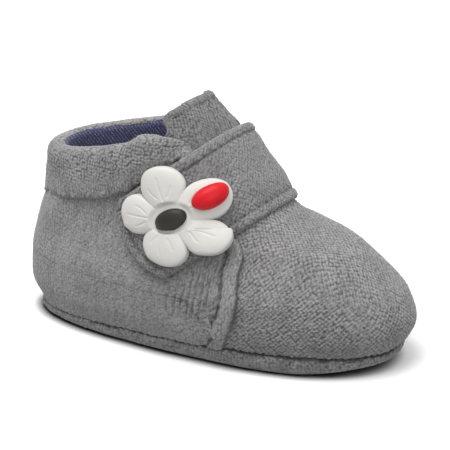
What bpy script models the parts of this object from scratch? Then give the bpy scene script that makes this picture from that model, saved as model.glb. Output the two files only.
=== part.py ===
"""Baby bootie slipper, right foot: soft sole, padded velour upper, rolled cuff, tongue,
instep strap and a moulded flower badge on the strap's end.

The shoe stands on the XY plane with its toe towards +X and its inner (medial) side
towards +Y. The origin is on the flat underside of the sole, below the middle of its length.

Every curved piece is taken from one form, a stack of level slices of the last, so that
pieces that lie on each other stay in touch when a size changes.
"""

import math
from collections import namedtuple

import bmesh
import bpy
from mathutils import Vector

MM = 0.001

# Driving sizes of the shoe
LENGTH = 125.0 * MM
BALL_WIDTH = 52.0 * MM
HEIGHT = 66.5 * MM
TOE_SWING = 1.6 * MM

# Sole and insole
SOLE_THICK = 4.8 * MM
SOLE_TUCK = 1.5 * MM
TOE_SPRING = 2.4 * MM
INSOLE_THICK = 2.0 * MM

# Fabric walls, measured outwards from the form, which is the outer face of the vamp
LINING_DEPTH = 2.0 * MM
QUARTER_OUT = 1.1 * MM
HEM_OUT = 1.7 * MM
HEM_WIDTH = 5.4 * MM
STEP_RUN = 0.4 * MM
FEATHER_PULL = 6.0 * MM
GAP = 0.3 * MM

# Tongue
TONGUE_THICK = 2.4 * MM
TONGUE_PUFF = 1.6 * MM
TONGUE_LAP = 4.6 * MM
TONGUE_HEIGHT = 1.02 * HEIGHT
TONGUE_CORNER = 4.5 * MM

# Cuff
CUFF_HEIGHT = 17.5 * MM
CUFF_SLIM = 8.0 * MM
CUFF_OUT = 4.2 * MM
COLLAR_BACK = 54.0 * MM
COLLAR_FRONT = 70.5 * MM
COLLAR_SAG = 1.45
CUFF_END_DROP = 7.5 * MM
CUFF_END_RUN = 12.0 * MM
CUFF_END_THIN = 0.65

# Strap
STRAP_WIDTH = 27.0 * MM
STRAP_THICK = 2.6 * MM
STRAP_LATERAL = 40.4 * MM
STRAP_MEDIAL = 46.0 * MM
STRAP_END_BULGE = 3.6 * MM
STRAP_END_SLANT = 0.07
STRAP_PITCH = math.radians(51.5)
STRAP_REAR_PLANE = -45.4 * MM
STRAP_SEAT = HEM_OUT + GAP
STRAP_ROLL = 3.4 * MM

# Badge
BADGE_ALONG_RADIUS = 14.4 * MM
BADGE_ACROSS_RADIUS = 16.8 * MM
BADGE_THICK = 3.4 * MM
BADGE_ALONG = -26.4 * MM
BADGE_ACROSS = 0.6 * MM
BADGE_PETALS = 5
BUTTON_LONG = 4.2 * MM
BUTTON_SHORT = 3.3 * MM
BUTTON_RISE = 1.8 * MM
BERRY_RADIUS = 3.6 * MM
BERRY_RISE = 2.8 * MM
BERRY_SHARE = 0.70
BERRY_TURN = 0.0

# Resolution
VAMP_COLUMNS = 20
QUARTER_COLUMNS = 18
LOWER_ROWS = 12
UPPER_ROWS = 5
SOLE_POINTS = 72
STRAP_STATIONS = 26
TONGUE_ROWS = 9

# The form, level by level. z is a share of HEIGHT; heel, front and wide (the place of the
# greatest width) are shares of LENGTH from the origin; half is a share of BALL_WIDTH;
# nose and back say how square the slice is ahead of its widest place and behind it.
Level = namedtuple("Level", "name z heel front wide half nose back")
LEVELS = (
    Level("feather", 0.070, -0.462, 0.472, 0.14, 0.470, 2.20, 2.60),
    Level("bulge", 0.185, -0.470, 0.503, 0.14, 0.508, 2.20, 2.60),
    Level("toe_top", 0.295, -0.470, 0.482, 0.12, 0.505, 2.20, 2.50),
    Level("vamp_low", 0.395, -0.452, 0.424, 0.06, 0.465, 2.30, 2.40),
    Level("vamp_mid", 0.480, -0.430, 0.354, -0.02, 0.420, 2.40, 2.40),
    Level("throat", 0.560, -0.414, 0.208, -0.09, 0.385, 2.60, 2.30),
    Level("strap_mid", 0.730, -0.388, 0.094, -0.13, 0.345, 3.00, 2.20),
    Level("strap_top", 0.880, -0.392, 0.024, -0.14, 0.325, 3.60, 2.20),
    Level("tongue_low", 0.950, -0.390, -0.018, -0.15, 0.320, 4.20, 2.20),
    Level("tongue_top", 1.000, -0.388, -0.060, -0.16, 0.318, 4.60, 2.20),
)

# The quarters' front edges: height as a share of HEIGHT, and the angle round the slice
# on either side, in degrees from the toe.
EdgeRow = namedtuple("EdgeRow", "z lateral medial")
QUARTER_EDGE = (
    EdgeRow(0.07, 91.0, 91.0),
    EdgeRow(0.28, 81.5, 84.0),
    EdgeRow(0.41, 70.5, 77.0),
    EdgeRow(0.48, 60.5, 68.0),
    EdgeRow(0.55, 49.5, 57.0),
    EdgeRow(0.64, 43.5, 50.0),
    EdgeRow(0.78, 42.0, 46.5),
    EdgeRow(0.92, 41.0, 45.5),
    EdgeRow(1.00, 40.0, 45.0),
)
THROAT_HEIGHT = 0.62 * HEIGHT
SIDE_SPLIT_DROP = 0.22 * HEIGHT

# The cuff's section: share of the cuff's height, and outward place, either from the
# lining (inner) or as a share of CUFF_OUT.
CuffPoint = namedtuple("CuffPoint", "name rise inner out")
CUFF_SECTION = (
    CuffPoint("inner_mid", 0.50, True, 0.00),
    CuffPoint("inner_top", 0.88, True, 0.02),
    CuffPoint("crown_in", 0.97, True, 0.20),
    CuffPoint("crown", 1.00, False, 0.22),
    CuffPoint("crown_out", 0.96, False, 0.74),
    CuffPoint("shoulder", 0.84, False, 1.00),
    CuffPoint("belly", 0.50, False, 1.00),
    CuffPoint("skirt", 0.18, False, 0.97),
    CuffPoint("lip_out", 0.02, False, 0.80),
)
CUFF_LIP_DROP = 0.02

# Thickness of a bag-turned edge at a distance in from it, as shares of STRAP_ROLL and
# STRAP_THICK: the seam allowance swells into a roll, the stitching draws in a groove.
RollPoint = namedtuple("RollPoint", "name inward thick")
EDGE_ROLL = (
    RollPoint("rim", 0.00, 0.50),
    RollPoint("shoulder", 0.20, 1.05),
    RollPoint("roll", 0.55, 1.15),
    RollPoint("groove", 0.85, 0.72),
    RollPoint("field", 1.10, 0.98),
    RollPoint("middle", 3.00, 1.00),
)


def smooth_curve(places, values):
    """A curve through the values that never overshoots them (monotone cubic)."""
    count = len(places)
    slopes = [
        (values[i + 1] - values[i]) / (places[i + 1] - places[i])
        for i in range(count - 1)
    ]
    tangents = [slopes[0]]
    for before, after in zip(slopes, slopes[1:]):
        same_way = before * after > 0
        tangents.append(2 * before * after / (before + after) if same_way else 0.0)
    tangents.append(slopes[-1])

    def curve(place):
        place = min(max(place, places[0]), places[-1])
        i = 0
        while i < count - 2 and place > places[i + 1]:
            i += 1
        span = places[i + 1] - places[i]
        t = (place - places[i]) / span
        return (
            (2 * t**3 - 3 * t**2 + 1) * values[i]
            + (t**3 - 2 * t**2 + t) * span * tangents[i]
            + (3 * t**2 - 2 * t**3) * values[i + 1]
            + (t**3 - t**2) * span * tangents[i + 1]
        )

    return curve


def smooth_step(value):
    value = min(max(value, 0.0), 1.0)
    return value * value * (3 - 2 * value)


def level_curve(column, size):
    heights = [level.z * HEIGHT for level in LEVELS]
    return smooth_curve(heights, [getattr(level, column) * size for level in LEVELS])


HEEL_X = level_curve("heel", LENGTH)
FRONT_X = level_curve("front", LENGTH)
WIDE_X = level_curve("wide", LENGTH)
HALF_WIDTH = level_curve("half", BALL_WIDTH)
NOSE_SQUARENESS = level_curve("nose", 1.0)
BACK_SQUARENESS = level_curve("back", 1.0)
EDGE_HEIGHTS = [row.z * HEIGHT for row in QUARTER_EDGE]
EDGE_ANGLE = {
    -1: smooth_curve(EDGE_HEIGHTS, [math.radians(row.lateral) for row in QUARTER_EDGE]),
    1: smooth_curve(EDGE_HEIGHTS, [math.radians(row.medial) for row in QUARTER_EDGE]),
}
FEATHER_HEIGHT = SOLE_THICK + GAP


def form_point(angle, z):
    """A point of the form: angle 0 is the toe side, a positive angle the medial side."""
    along, across = math.cos(angle), math.sin(angle)
    wide = WIDE_X(z)
    if along >= 0:
        reach, square = FRONT_X(z) - wide, NOSE_SQUARENESS(z)
    else:
        reach, square = wide - HEEL_X(z), BACK_SQUARENESS(z)
    radius = (abs(along) ** square + abs(across) ** square) ** (-1 / square)
    x = wide + reach * radius * along
    swing = TOE_SWING * smooth_step(x / (0.5 * LENGTH))
    return Vector((x, HALF_WIDTH(z) * radius * across + swing, z))


def form_normal(angle, z):
    turn, lift = 0.01, 0.25 * MM
    around = form_point(angle + turn, z) - form_point(angle - turn, z)
    upward = form_point(angle, z + lift) - form_point(angle, z - lift)
    return around.cross(upward).normalized()


def skin(angle, z, out):
    """The form's point moved outwards along its normal."""
    return form_point(angle, z) + form_normal(angle, z) * out


def angle_for(distance, angle, z):
    """The turn that moves a point of the slice by a distance along it."""
    turn = 0.01
    rate = (form_point(angle + turn, z) - form_point(angle - turn, z)).length / (2 * turn)
    return distance / rate


def edge_offset_angle(side, distance, z):
    """The angle of a line that runs a distance behind the quarter's front edge."""
    edge = side * EDGE_ANGLE[side](z)
    half_way = edge + side * 0.5 * angle_for(distance, edge, z)
    return edge + side * angle_for(distance, half_way, z)


def even_heights(angle_at, low, high, count, crowding=1.0):
    """Heights that split the column's curve from low to high into equal lengths, or into
    lengths that grow from the bottom up when the crowding is more than one."""
    samples = 40
    heights = [low + (high - low) * i / samples for i in range(samples + 1)]
    points = [form_point(angle_at(z), z) for z in heights]
    lengths = [0.0]
    for before, after in zip(points, points[1:]):
        lengths.append(lengths[-1] + (after - before).length)
    placed = []
    i = 0
    for step in range(count + 1):
        wanted = lengths[-1] * (step / count) ** crowding
        while i < samples - 1 and lengths[i + 1] < wanted:
            i += 1
        share = (wanted - lengths[i]) / (lengths[i + 1] - lengths[i])
        placed.append(heights[i] + share * (heights[i + 1] - heights[i]))
    return placed


def strap_plane(angle, z):
    """Distance of the form's point along the strap's width direction."""
    point = form_point(angle, z)
    return point.x * math.cos(STRAP_PITCH) - point.z * math.sin(STRAP_PITCH)


def height_on_plane(angle, plane):
    """Height at which the column of this angle crosses a plane of the strap."""
    low, high = 0.05 * HEIGHT, HEIGHT
    for _ in range(24):
        middle = 0.5 * (low + high)
        if strap_plane(angle, middle) > plane:
            low = middle
        else:
            high = middle
    return 0.5 * (low + high)


def toe_share(angle):
    """0 at the heel, 1 at the toe side."""
    return 0.5 * (1 + math.cos(angle))


def collar_height(angle):
    """Top of the cuff: a line that climbs from the heel to the instep."""
    climb = toe_share(angle) ** COLLAR_SAG
    return COLLAR_BACK + (COLLAR_FRONT - COLLAR_BACK) * climb


def end_share(angle):
    """1 at the cuff's front ends, falling to 0 over its end run."""
    z = collar_height(angle)
    side = 1 if angle > 0 else -1
    edge = EDGE_ANGLE[side](z)
    behind = (abs(angle) - edge) / angle_for(1.0, side * edge, z)
    return min(max(1 - behind / CUFF_END_RUN, 0.0), 1.0)


def cuff_top(angle):
    """The collar height, rounded down towards the cuff's front ends."""
    return collar_height(angle) - CUFF_END_DROP * end_share(angle) ** 2


def cuff_foot(angle):
    """The quarter's top edge, where the cuff begins. It stays behind the strap."""
    behind_strap = height_on_plane(angle, STRAP_REAR_PLANE - 3 * GAP)
    tall = CUFF_HEIGHT - CUFF_SLIM * toe_share(angle)
    return max(collar_height(angle) - tall, behind_strap)


def grid_faces(mesh, points, cells, flip=False):
    """Quads over the cells of a grid of vertices."""
    for corners in cells:
        face = [points[c] for c in corners]
        mesh.faces.new(face[::-1] if flip else face)


def shell_mesh(name, outer, inner, cells):
    """A wall between two grids of points, closed along every free edge of its cells."""
    mesh = bmesh.new()
    top = {key: mesh.verts.new(point) for key, point in outer.items()}
    low = {key: mesh.verts.new(point) for key, point in inner.items()}
    grid_faces(mesh, top, cells)
    grid_faces(mesh, low, cells, flip=True)
    edges = {}
    for corners in cells:
        for start, end in zip(corners, corners[1:] + corners[:1]):
            edges[(start, end)] = edges.get((start, end), 0) + 1
    for start, end in edges:
        if (end, start) not in edges:
            mesh.faces.new((top[end], top[start], low[start], low[end]))
    return finished(name, mesh)


def ring_mesh(name, sections, closed):
    """A solid through like sections, either a closed ring or capped at its two ends."""
    mesh = bmesh.new()
    rings = [[mesh.verts.new(point) for point in section] for section in sections]
    pairs = list(zip(rings, rings[1:] + rings[:1])) if closed else list(zip(rings, rings[1:]))
    for first, second in pairs:
        for i, _ in enumerate(first):
            j = (i + 1) % len(first)
            mesh.faces.new((first[i], first[j], second[j], second[i]))
    if not closed:
        mesh.faces.new(rings[0][::-1])
        mesh.faces.new(rings[-1])
    return finished(name, mesh)


def finished(name, mesh):
    """The bmesh as a mesh data block with its faces pointing out."""
    bmesh.ops.recalc_face_normals(mesh, faces=mesh.faces)
    if mesh.calc_volume(signed=True) < 0:
        bmesh.ops.reverse_faces(mesh, faces=mesh.faces)
    data = bpy.data.meshes.new(name)
    mesh.to_mesh(data)
    mesh.free()
    data.shade_smooth()
    data.set_sharp_from_angle(angle=math.radians(50))
    return data


def material(name, colour, roughness):
    made = bpy.data.materials.new(name)
    made.use_nodes = True
    shader = made.node_tree.nodes["Principled BSDF"]
    shader.inputs["Base Color"].default_value = (*colour, 1.0)
    shader.inputs["Roughness"].default_value = roughness
    shader.inputs["Metallic"].default_value = 0.0
    return made


def place(data, collection, finish):
    data.materials.append(finish)
    collection.objects.link(bpy.data.objects.new(data.name, data))


# Upper

Column = namedtuple("Column", "angle out laps")


def upper_columns():
    """The columns of the upper's wall, from the lateral edge over the toe and round the heel."""
    columns = []
    for i in range(VAMP_COLUMNS + 1):
        share = i / VAMP_COLUMNS

        def angle_at(z, s=share):
            return s * EDGE_ANGLE[1](z) - (1 - s) * EDGE_ANGLE[-1](z)

        columns.append(Column(angle_at, 0.0, False))
    columns += quarter_columns()
    return columns


def quarter_columns():
    """The quarters' columns: hem, medial side, heel, lateral side, hem."""
    hem = [
        (STEP_RUN, HEM_OUT, True),
        (0.5 * HEM_WIDTH, HEM_OUT, True),
        (HEM_WIDTH, HEM_OUT, True),
        (HEM_WIDTH + STEP_RUN, QUARTER_OUT, False),
    ]
    start = HEM_WIDTH + STEP_RUN
    medial = [
        Column(lambda z, d=distance: edge_offset_angle(1, d, z), out, laps)
        for distance, out, laps in hem
    ]
    lateral = [
        Column(lambda z, d=distance: edge_offset_angle(-1, d, z) + 2 * math.pi, out, laps)
        for distance, out, laps in reversed(hem)
    ]
    between = []
    for i in range(1, 2 * QUARTER_COLUMNS):
        share = i / (2 * QUARTER_COLUMNS)

        def angle_at(z, s=share):
            first = edge_offset_angle(1, start, z)
            last = edge_offset_angle(-1, start, z) + 2 * math.pi
            return first + (last - first) * s

        between.append(Column(angle_at, QUARTER_OUT, False))
    return medial + between + lateral


def split_height(column):
    """Height of the row that carries the throat's edge, lower towards the heel."""
    toe_side = math.cos(column.angle(THROAT_HEIGHT))
    behind = smooth_step(0.5 * (0.7 - toe_side))
    return THROAT_HEIGHT - SIDE_SPLIT_DROP * behind


def top_height(column):
    """Height of the quarter's top edge in this column, found by closing in on it."""
    z = THROAT_HEIGHT
    for _ in range(6):
        z = cuff_foot(signed(column.angle(z)))
    return z


def signed(angle):
    """The same angle between minus and plus half a turn."""
    return math.atan2(math.sin(angle), math.cos(angle))


def upper_wall():
    columns = upper_columns()
    count = len(columns)
    outer, inner, cells = {}, {}, []
    for j, column in enumerate(columns):
        split = split_height(column)
        heights = even_heights(column.angle, FEATHER_HEIGHT, split, LOWER_ROWS, 1.35)
        if column.out > 0:
            heights += even_heights(column.angle, split, top_height(column), UPPER_ROWS)[1:]
        for i, z in enumerate(heights):
            laps = column.laps and i >= LOWER_ROWS
            angle = column.angle(z)
            drawn_in = 0.25 + 0.75 * smooth_step((z - FEATHER_HEIGHT) / FEATHER_PULL)
            outer[i, j] = skin(angle, z, column.out * drawn_in)
            inner[i, j] = skin(angle, z, GAP if laps else -LINING_DEPTH)
        following = columns[(j + 1) % count]
        rows = LOWER_ROWS
        if column.out > 0 and following.out > 0:
            rows += UPPER_ROWS
        k = (j + 1) % count
        cells += [((i, j), (i, k), (i + 1, k), (i + 1, j)) for i in range(rows)]
    return shell_mesh("upper", outer, inner, cells)


# Tongue

def tongue_columns():
    """An angle function, a puff height and a drop of the top edge for each column, from
    the lateral edge to the medial."""
    laps = (
        (TONGUE_LAP, TONGUE_CORNER),
        (0.7 * TONGUE_LAP, 0.35 * TONGUE_CORNER),
        (0.35 * TONGUE_LAP, 0.1 * TONGUE_CORNER),
        (-2 * GAP, 0.0),
    )
    columns = []
    for distance, drop in laps:
        columns.append((lambda z, d=distance: edge_offset_angle(-1, d, z), 0.0, drop))
    for i in range(-7, 8):
        share = i / 8

        def angle_at(z, s=share):
            first = edge_offset_angle(-1, -3 * GAP, z)
            last = edge_offset_angle(1, -3 * GAP, z)
            return 0.5 * ((1 - s) * first + (1 + s) * last)

        columns.append((angle_at, TONGUE_PUFF * (1 - share**6), 0.0))
    for distance, drop in reversed(laps):
        columns.append((lambda z, d=distance: edge_offset_angle(1, d, z), 0.0, drop))
    return columns


def tongue_pad():
    """The tongue lies in the throat and runs under the quarters' hems on both sides."""
    low = THROAT_HEIGHT + 2 * GAP
    columns = tongue_columns()
    outer, inner = {}, {}
    for j, (angle_at, puff, drop) in enumerate(columns):
        heights = even_heights(angle_at, low, TONGUE_HEIGHT - drop, TONGUE_ROWS)
        for i, z in enumerate(heights):
            angle = angle_at(z)
            thinned = 0.75 if i == TONGUE_ROWS else 1.0
            outer[i, j] = skin(angle, z, puff * (0.6 if i in (0, TONGUE_ROWS) else 1.0))
            inner[i, j] = skin(angle, z, -TONGUE_THICK * thinned)
    cells = [
        ((i, j), (i, j + 1), (i + 1, j + 1), (i + 1, j))
        for i in range(TONGUE_ROWS)
        for j in range(len(columns) - 1)
    ]
    return shell_mesh("tongue", outer, inner, cells)


# Cuff

def cuff_roll():
    """The padded roll round the ankle, seated on the quarters' top edge."""
    sections = []
    for column in quarter_columns():
        z = top_height(column)
        angle = signed(column.angle(z))
        foot, top = cuff_foot(angle) + GAP, cuff_top(angle)
        tall = top - foot
        fullness = smooth_step(tall / (0.7 * CUFF_HEIGHT))
        inside = GAP if column.laps else -LINING_DEPTH
        seat = column.out + GAP
        thinned = 1 - CUFF_END_THIN * end_share(angle)
        swell = seat + (CUFF_OUT - seat) * (0.35 + 0.65 * fullness) * thinned

        def at(height, out):
            return skin(column.angle(height), height, out)

        section = [at(foot, seat), at(foot, inside)]
        for point in CUFF_SECTION:
            if point.inner:
                out = inside + (swell - inside) * point.out
            else:
                out = inside + (swell - inside) * (0.42 + 0.58 * point.out)
            section.append(at(foot + tall * point.rise, out))
        lip = foot - GAP - tall * CUFF_LIP_DROP
        section.append(at(lip, seat + 0.25 * (swell - seat)))
        section.append(at(lip, seat))
        sections.append(section)
    return ring_mesh("cuff", sections, closed=False)


# Sole and insole

def outline_point(angle, z, inset):
    """A point of the slice, moved inwards within the slice's own plane."""
    turn = 0.01
    along = form_point(angle + turn, z) - form_point(angle - turn, z)
    outward = Vector((along.y, -along.x, 0)).normalized()
    return form_point(angle, z) - outward * inset


def even_angles(z, count):
    """Angles that split the slice at this height into equal lengths."""
    samples = 4 * count
    angles = [2 * math.pi * i / samples for i in range(samples + 1)]
    lengths = [0.0]
    for before, after in zip(angles, angles[1:]):
        lengths.append(lengths[-1] + (form_point(after, z) - form_point(before, z)).length)
    placed = []
    i = 0
    for step in range(count):
        wanted = lengths[-1] * step / count
        while lengths[i + 1] < wanted:
            i += 1
        share = (wanted - lengths[i]) / (lengths[i + 1] - lengths[i])
        placed.append(angles[i] + share * (angles[i + 1] - angles[i]))
    return placed


def toe_spring(x):
    return TOE_SPRING * smooth_step((x - 0.28 * LENGTH) / (0.22 * LENGTH))


SoleRing = namedtuple("SoleRing", "name height outset shrink")
SOLE_RINGS = (
    SoleRing("top_middle", 1.00, 0.0, 0.55),
    SoleRing("top_edge", 1.00, -0.3, 1.0),
    SoleRing("seam", 0.92, 0.0, 1.0),
    SoleRing("side", 0.64, 0.1, 1.0),
    SoleRing("side_low", 0.36, -0.25, 1.0),
    SoleRing("turn", 0.12, -1.0, 1.0),
    SoleRing("floor_edge", 0.00, -2.3, 1.0),
    SoleRing("floor_middle", 0.00, 0.0, 0.55),
)


def outsole():
    """A soft sole pad: flat under heel and ball, round-edged, a little lifted at the toe."""
    angles = even_angles(FEATHER_HEIGHT, SOLE_POINTS)
    mesh = bmesh.new()
    rings = []
    for ring in SOLE_RINGS:
        points = []
        for angle in angles:
            at = outline_point(angle, FEATHER_HEIGHT, -ring.outset * SOLE_TUCK)
            at = Vector((at.x * ring.shrink, at.y * ring.shrink, 0))
            lift = toe_spring(at.x) * (1 - ring.height)
            points.append(Vector((at.x, at.y, ring.height * SOLE_THICK + lift)))
        rings.append([mesh.verts.new(point) for point in points])
    for upper, lower in zip(rings, rings[1:]):
        for i in range(SOLE_POINTS):
            j = (i + 1) % SOLE_POINTS
            mesh.faces.new((upper[i], lower[i], lower[j], upper[j]))
    mesh.faces.new(rings[0])
    mesh.faces.new(rings[-1][::-1])
    return finished("outsole", mesh)


def insole():
    """A thin footbed that lies on the outsole inside the upper's wall."""
    low = SOLE_THICK + GAP
    inset = LINING_DEPTH + 2.5 * GAP
    angles = even_angles(FEATHER_HEIGHT, SOLE_POINTS)
    rims = (
        (low, inset),
        (low + 0.7 * INSOLE_THICK, inset),
        (low + INSOLE_THICK, inset + 0.3 * INSOLE_THICK),
    )
    mesh = bmesh.new()
    rings = []
    for z, inward in rims:
        ring = []
        for angle in angles:
            at = outline_point(angle, FEATHER_HEIGHT, inward)
            ring.append(mesh.verts.new((at.x, at.y, z)))
        rings.append(ring)
    for lower, upper in zip(rings, rings[1:]):
        for i in range(SOLE_POINTS):
            j = (i + 1) % SOLE_POINTS
            mesh.faces.new((lower[i], lower[j], upper[j], upper[i]))
    mesh.faces.new(rings[0][::-1])
    mesh.faces.new(rings[-1])
    return finished("insole", mesh)


# Strap

def strap_line(across):
    """Angles and running lengths along the strap's line at a place across its width.
    Lengths are negative on the lateral side and positive on the medial side."""
    plane = STRAP_REAR_PLANE + 0.5 * STRAP_WIDTH + across
    widest = math.radians(150)
    samples = 120
    angles = [-widest + 2 * widest * i / samples for i in range(samples + 1)]
    points = [form_point(angle, height_on_plane(angle, plane)) for angle in angles]
    lengths = [0.0]
    for before, after in zip(points, points[1:]):
        lengths.append(lengths[-1] + (after - before).length)
    middle = lengths[samples // 2]
    return angles, [length - middle for length in lengths]


STRAP_LINES = [
    (share * STRAP_WIDTH, strap_line(share * STRAP_WIDTH))
    for share in (-0.75, -0.5, -0.25, 0.0, 0.25, 0.5, 0.75)
]


def angle_on_line(line, distance):
    angles, lengths = line
    i = 0
    while i < len(angles) - 2 and lengths[i + 1] < distance:
        i += 1
    share = (distance - lengths[i]) / (lengths[i + 1] - lengths[i])
    return angles[i] + share * (angles[i + 1] - angles[i])


def strap_point(distance, across, out):
    """A point over the form, placed by its distance along the strap and across it."""
    i = 0
    while i < len(STRAP_LINES) - 2 and STRAP_LINES[i + 1][0] < across:
        i += 1
    (first_at, first), (second_at, second) = STRAP_LINES[i], STRAP_LINES[i + 1]
    share = (across - first_at) / (second_at - first_at)
    angle = (1 - share) * angle_on_line(first, distance)
    angle += share * angle_on_line(second, distance)
    z = height_on_plane(angle, STRAP_REAR_PLANE + 0.5 * STRAP_WIDTH + across)
    return skin(angle, z, out)


ROLL_THICK = smooth_curve(
    [point.inward * STRAP_ROLL for point in EDGE_ROLL],
    [point.thick * STRAP_THICK for point in EDGE_ROLL],
)


def strap_end(across):
    """Length of the strap's lateral end, a shallow curve that runs a little further on
    the toe side."""
    bulge = STRAP_END_BULGE * (1 - abs(2 * across / STRAP_WIDTH) ** 2.2)
    return STRAP_LATERAL + bulge + STRAP_END_SLANT * across


def strap_band():
    """The strap, sewn down on the medial quarter and closed on the lateral one."""
    half = 0.5 * STRAP_WIDTH
    insets = [point.inward * STRAP_ROLL for point in EDGE_ROLL[:-1]]
    places = [inset - half for inset in insets] + [-0.35 * half, 0.0, 0.35 * half]
    places += [half - inset for inset in reversed(insets)]
    outer, inner = {}, {}
    for j, across in enumerate(places):
        start, end = -strap_end(across), STRAP_MEDIAL
        ends = insets[1:]
        first = [start] + [start + inset for inset in ends]
        last = [end - inset for inset in reversed(ends)] + [end]
        span = last[0] - first[-1]
        steps = [first[-1] + span * i / STRAP_STATIONS for i in range(1, STRAP_STATIONS)]
        stations = first + steps + last
        for i, distance in enumerate(stations):
            inward = min(half - abs(across), distance - start, end - distance)
            top = STRAP_SEAT + ROLL_THICK(inward)
            outer[i, j] = strap_point(distance, across, top)
            inner[i, j] = strap_point(distance, across, STRAP_SEAT)
    cells = [
        ((i, j), (i, j + 1), (i + 1, j + 1), (i + 1, j))
        for i in range(len(stations) - 1)
        for j in range(len(places) - 1)
    ]
    return shell_mesh("strap", outer, inner, cells)


# Badge

def badge_point(along, across, rise):
    """A point over the strap's face, placed from the badge's middle."""
    top = STRAP_SEAT + 1.15 * STRAP_THICK + GAP
    return strap_point(BADGE_ALONG + along, BADGE_ACROSS + across, top + rise)


def petal_place(share, turn):
    """A place on the flower at a share of the petal's length in this direction."""
    lobe = abs(math.cos(0.5 * BADGE_PETALS * turn))
    reach = share * (0.60 + 0.40 * lobe**0.62)
    along = BADGE_ALONG_RADIUS * reach * math.cos(turn)
    return along, BADGE_ACROSS_RADIUS * reach * math.sin(turn)


def petal_share(along, across):
    """The share and the turn of a place on the flower: petal_place worked backwards."""
    along, across = along / BADGE_ALONG_RADIUS, across / BADGE_ACROSS_RADIUS
    turn = math.atan2(across, along)
    lobe = abs(math.cos(0.5 * BADGE_PETALS * turn))
    return math.hypot(along, across) / (0.60 + 0.40 * lobe**0.62), turn


def flower_top(along, across):
    """Height of the flower's face: puffed petals round a flat seat for the button."""
    share, turn = petal_share(along, across)
    lobe = abs(math.cos(0.5 * BADGE_PETALS * turn))
    puff = math.sqrt(max(1 - share**4, 0.0)) * (0.72 + 0.28 * lobe)
    seat = BUTTON_LONG + GAP
    outside_seat = smooth_step((math.hypot(along, across) - seat) / (0.35 * seat))
    return BADGE_THICK * (0.30 + 0.70 * puff * outside_seat + 0.25 * (1 - outside_seat))


def badge_flower():
    """The flower's moulding, flat-backed, with its rim standing on the strap."""
    spokes = 12 * BADGE_PETALS
    shares = (0.22, 0.38, 0.50, 0.66, 0.82, 0.93, 1.0)
    mesh = bmesh.new()
    layers = [(share, True) for share in shares] + [(share, False) for share in shares[::-1]]
    stack = []
    for share, on_top in layers:
        ring = []
        for i in range(spokes):
            place = petal_place(share, 2 * math.pi * i / spokes)
            rise = flower_top(*place) if on_top else 0.0
            ring.append(mesh.verts.new(badge_point(*place, rise)))
        stack.append(ring)
    peak = mesh.verts.new(badge_point(0, 0, flower_top(0, 0)))
    base = mesh.verts.new(badge_point(0, 0, 0))
    for upper, lower in zip(stack, stack[1:]):
        for i in range(spokes):
            j = (i + 1) % spokes
            mesh.faces.new((upper[i], lower[i], lower[j], upper[j]))
    for i in range(spokes):
        j = (i + 1) % spokes
        mesh.faces.new((peak, stack[0][i], stack[0][j]))
        mesh.faces.new((base, stack[-1][j], stack[-1][i]))
    return finished("badge_flower", mesh)


def badge_dome(name, middle, axes, rise):
    """A low round dome that sits on the flower's face."""
    spokes = 28
    layers = ((1.0, 0.0), (1.0, 0.35), (0.90, 0.66), (0.66, 0.88), (0.34, 0.98))
    mesh = bmesh.new()
    rings = []
    for share, height in layers:
        ring = []
        for i in range(spokes):
            turn = 2 * math.pi * i / spokes
            rim = (middle[0] + axes[0] * math.cos(turn), middle[1] + axes[1] * math.sin(turn))
            along = middle[0] + share * axes[0] * math.cos(turn)
            across = middle[1] + share * axes[1] * math.sin(turn)
            foot = flower_top(*rim) + 1.5 * GAP
            crown = flower_top(*middle) + GAP + rise
            ring.append(mesh.verts.new(badge_point(along, across, foot + height * (crown - foot))))
        rings.append(ring)
    for lower, upper in zip(rings, rings[1:]):
        for i in range(spokes):
            j = (i + 1) % spokes
            mesh.faces.new((lower[i], lower[j], upper[j], upper[i]))
    hollow = []
    for i in range(spokes):
        turn = 2 * math.pi * i / spokes
        along = middle[0] + 0.5 * axes[0] * math.cos(turn)
        across = middle[1] + 0.5 * axes[1] * math.sin(turn)
        under_side = flower_top(along, across) + 1.8 * GAP
        hollow.append(mesh.verts.new(badge_point(along, across, under_side)))
    under = mesh.verts.new(badge_point(*middle, flower_top(*middle) + 2 * GAP))
    for i in range(spokes):
        j = (i + 1) % spokes
        mesh.faces.new((hollow[i], hollow[j], rings[0][j], rings[0][i]))
        mesh.faces.new((under, hollow[j], hollow[i]))
    mesh.faces.new(rings[-1])
    return finished(name, mesh)


def build():
    for leftover in list(bpy.data.objects):
        bpy.data.objects.remove(leftover)
    collection = bpy.data.collections.new("bootie_slipper")
    bpy.context.scene.collection.children.link(collection)

    velour = material("grey_velour", (0.235, 0.235, 0.240), 0.95)
    lining = material("navy_lining", (0.045, 0.048, 0.110), 0.85)
    white_rubber = material("white_rubber", (0.78, 0.77, 0.74), 0.45)
    black_rubber = material("charcoal_rubber", (0.035, 0.034, 0.030), 0.40)
    red_rubber = material("red_rubber", (0.72, 0.012, 0.020), 0.40)

    place(outsole(), collection, velour)
    place(insole(), collection, lining)
    place(upper_wall(), collection, velour)
    place(tongue_pad(), collection, velour)
    place(cuff_roll(), collection, velour)
    place(strap_band(), collection, velour)

    place(badge_flower(), collection, white_rubber)
    button = badge_dome("badge_button", (0.0, 0.0), (BUTTON_LONG, BUTTON_SHORT), BUTTON_RISE)
    place(button, collection, black_rubber)
    berry_at = petal_place(BERRY_SHARE, BERRY_TURN)
    berry = badge_dome("badge_berry", berry_at, (BERRY_RADIUS, BERRY_RADIUS), BERRY_RISE)
    place(berry, collection, red_rubber)


build()
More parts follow.
